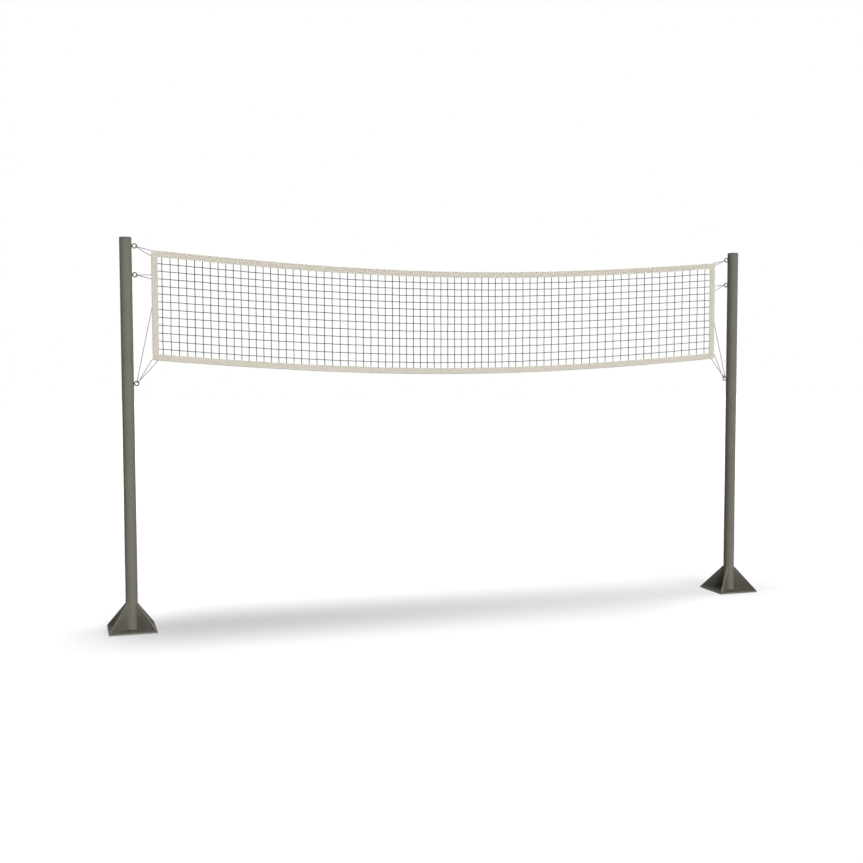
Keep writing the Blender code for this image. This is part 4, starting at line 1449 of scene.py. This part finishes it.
def laidRope(route, closed=False):
    # three strands wound round the route's line; the frame is carried along it without twisting
    line, length = smoothLine(route, ropeMake["layPitch"] / ropeMake["stepsPerPitch"], closed)
    tangents = np.roll(line, -1, 0) - np.roll(line, 1, 0) if closed else np.gradient(line, axis=0)
    tangents /= np.linalg.norm(tangents, axis=1)[:, None]
    side = np.cross(tangents[0], [0.3, 0.2, 1.0])
    sides = []
    for tangent in [*tangents, tangents[0]] if closed else tangents:
        side = side - tangent * np.dot(side, tangent)
        side = side / np.linalg.norm(side)
        sides.append(side)
    turns, twist = length / ropeMake["layPitch"], 0.0
    if closed:
        first, last = sides[0], sides.pop()
        twist = math.atan2(np.dot(np.cross(last, first), tangents[0]), np.dot(first, last))
        turns = round(turns)
    sides = np.array(sides)
    ups = np.cross(tangents, sides)
    share = np.arange(len(line)) / (len(line) if closed else len(line) - 1)
    strand = ropeRadius / (1 + 2 / math.sqrt(3))
    angles = [share * (math.tau * turns + twist) + math.tau * number / 3 for number in range(3)]
    lines = [line + (sides * np.cos(angle)[:, None] + ups * np.sin(angle)[:, None]) * (ropeRadius - strand)
             for angle in angles]
    parts = [cordMesh(lines, strand * ropeMake["strandFill"], closed)]
    for index, end in enumerate(() if closed else (line[0], line[-1])):
        # each cut end is melted into a small bead
        segments, rings = ropeMake["beadSteps"]
        bpy.ops.mesh.primitive_uv_sphere_add(segments=segments, ring_count=rings, location=end,
                                             radius=ropeRadius * ropeMake["beadFill"])
        bead = takeNew("melted_end")
        stretchMap(bead, 0.001, 0.0)
        inEditMode(bead, lambda: bpy.ops.transform.vertex_random(offset=ropeMake["beadRough"],
                                                                 seed=ropeMake["beadSeed"] + index))
        parts.append(bead)
    return parts, length


def finishRope(node, parts, length):
    finishPiece(joinInto(node.removesuffix("_rope") + "_laid", parts), "rope", 70, node)
    ropeLengths[node] = round(length, 3)


def makeLongRope(node, tape, level, pull):
    # through its sleeve from end to end, and at both ends round the eye and back to a knot behind the tape
    edge, inward = tapeEdges[tape]
    starts, ends = [], []
    for side, way in longTies[tape].items():
        near, far = (tapePlace(tape, side, inset, tieHoleDepth) for inset in way["holes"])
        turn = bight(side, level, pull)[::-1]
        edgeTurn = tapePlace(tape, side, *way["behind"]) + back * sleeveRest
        outward = Vector((sideSigns[side], 0, 0)) * ropeMake["diameter"]
        corner = tapePlace(tape, side, way["exit"], 0 if way["exit"] else tapeMake["sleeveRadius"])
        toEye = (turn[-1] - corner).normalized() * ropeMake["diameter"]
        if way["exit"]:
            starts.append(way["exit"] + ropeMake["foldRun"])
            ahead, inside, aside = ropeMake["foldLead"]
            leadIn = [corner + toEye * ahead, corner - outward * inside + up * (inward * ropeRadius * aside)]
        else:
            starts.append(0.0)
            farOut, ahead, nearOut = ropeMake["endLead"]
            leadIn = [corner + outward * farOut + toEye * ahead, corner + outward * nearOut]
        ends.append([*stopperKnot(far, side), (far + near) / 2, *throughHole(near, edgeTurn)[::-1], edgeTurn,
                     *turn, *leadIn])
    stations = np.linspace(netEdge("left", starts[0]), netEdge("right", starts[1]), ropeMake["stations"])
    sleeve = [Vector((x, 0, edge + inward * tapeMake["sleeveRadius"] - sagAt(x))) for x in stations]
    finishRope(node, *laidRope([*ends[0], *sleeve, *ends[1][::-1]]))


def makeMiddleLashing(side):
    # a closed loop: round the eye, in at the two slits, and behind the tape from hole to hole
    upper, lower = (sidePlace(side, sideHoleInset, depth) for depth in ties[side]["middle"])
    slits = [sidePlace(side, 0, depth) for depth in ties[side]["middle"]]
    turn = bight(side, "middle", pulls["middle"])
    parts, length = laidRope([slits[0], (slits[0] + upper) / 2, upper, *throughHole(upper, lower)[-2::-1],
                              *throughHole(lower, upper)[:-1], lower, (lower + slits[1]) / 2, slits[1],
                              *turn[::-1]], closed=True)
    # the two ends are knotted together behind the tape, wrapped round the strand between the holes
    axis = (upper - lower).normalized()
    middle = (upper + lower) / 2 + back * tapeRest
    wrap = wrapRound(middle - axis * ropeMake["wrapPitch"], axis, back, ropeMake["lashingTurns"])
    own, along, away = ropeMake["tailWay"]
    tails = [end + ((end - before).normalized() * own + axis * way + back * away) * ropeMake["tail"]
             for end, before, way in ((wrap[0], wrap[1], -along), (wrap[-1], wrap[-2], along))]
    knot, knotLength = laidRope([tails[0], *wrap, tails[1]])
    finishRope(side + "_middle_lashing", [*parts, *knot], length + knotLength)


def makeSideTie(side):
    hole, slit = sidePlace(side, sideHoleInset, ties[side]["hole"]), sidePlace(side, 0, ties[side]["slit"])
    turn = bight(side, "lower", pulls["side"])
    # an eye splice: the end comes up behind the ring and runs into the standing part
    way = (slit - turn[0]).normalized() * ropeMake["splice"]
    splice = [turn[0] + way * share + back * (turn[-1].y - turn[0].y) * apart
              for share, apart in ropeMake["spliceWay"]]
    route = [*stopperKnot(hole, side), hole + (slit - hole) * ropeMake["slitLead"], slit, *turn, *splice]
    finishRope(side + "_side_tie", *laidRope(route))


# Making it all

makeCamera()
makeFloor()
makeLamp()
makeWorld()
finishes = {"paint": (paintMaterial(), "post_paint"), "plastic": (capMaterial(), "cap_plastic"),
            "steel": (eyeMaterial(), "eye_steel"), "zinc": (zincMaterial(), "zinc"),
            "twine": (twineMaterial(), "net_cord"), "canvas": (canvasMaterial(), "tape_canvas"),
            "thread": (threadMaterial(), "tape_canvas"), "rope": (ropeMaterial(), "rope")}
print("camera, studio and materials ready")

for side in sideSigns:
    makeBasePlate(side)
    makeTube(side)
    for number in range(1, 5):
        makeGusset(side, number)
    makeWelds(side)
    makeCap(side)
print("posts made")

makeInserts()
makeEyes()
print("eye bolts and inserts made")

makeNetting()
print("netting made")

makeLongTape("top", 1.0)
makeLongTape("bottom", 2.3)
makeSideTape("left", 3.1)
makeSideTape("right", 4.7)
print("tapes folded and sewn")

makeLongRope("headline_rope", "top", "upper", pulls["headline"])
makeLongRope("footline_rope", "bottom", "lower", pulls["footline"])
for side in sideSigns:
    makeMiddleLashing(side)
    makeSideTie(side)
print("ropes laid:", ropeLengths)

clearSelection()
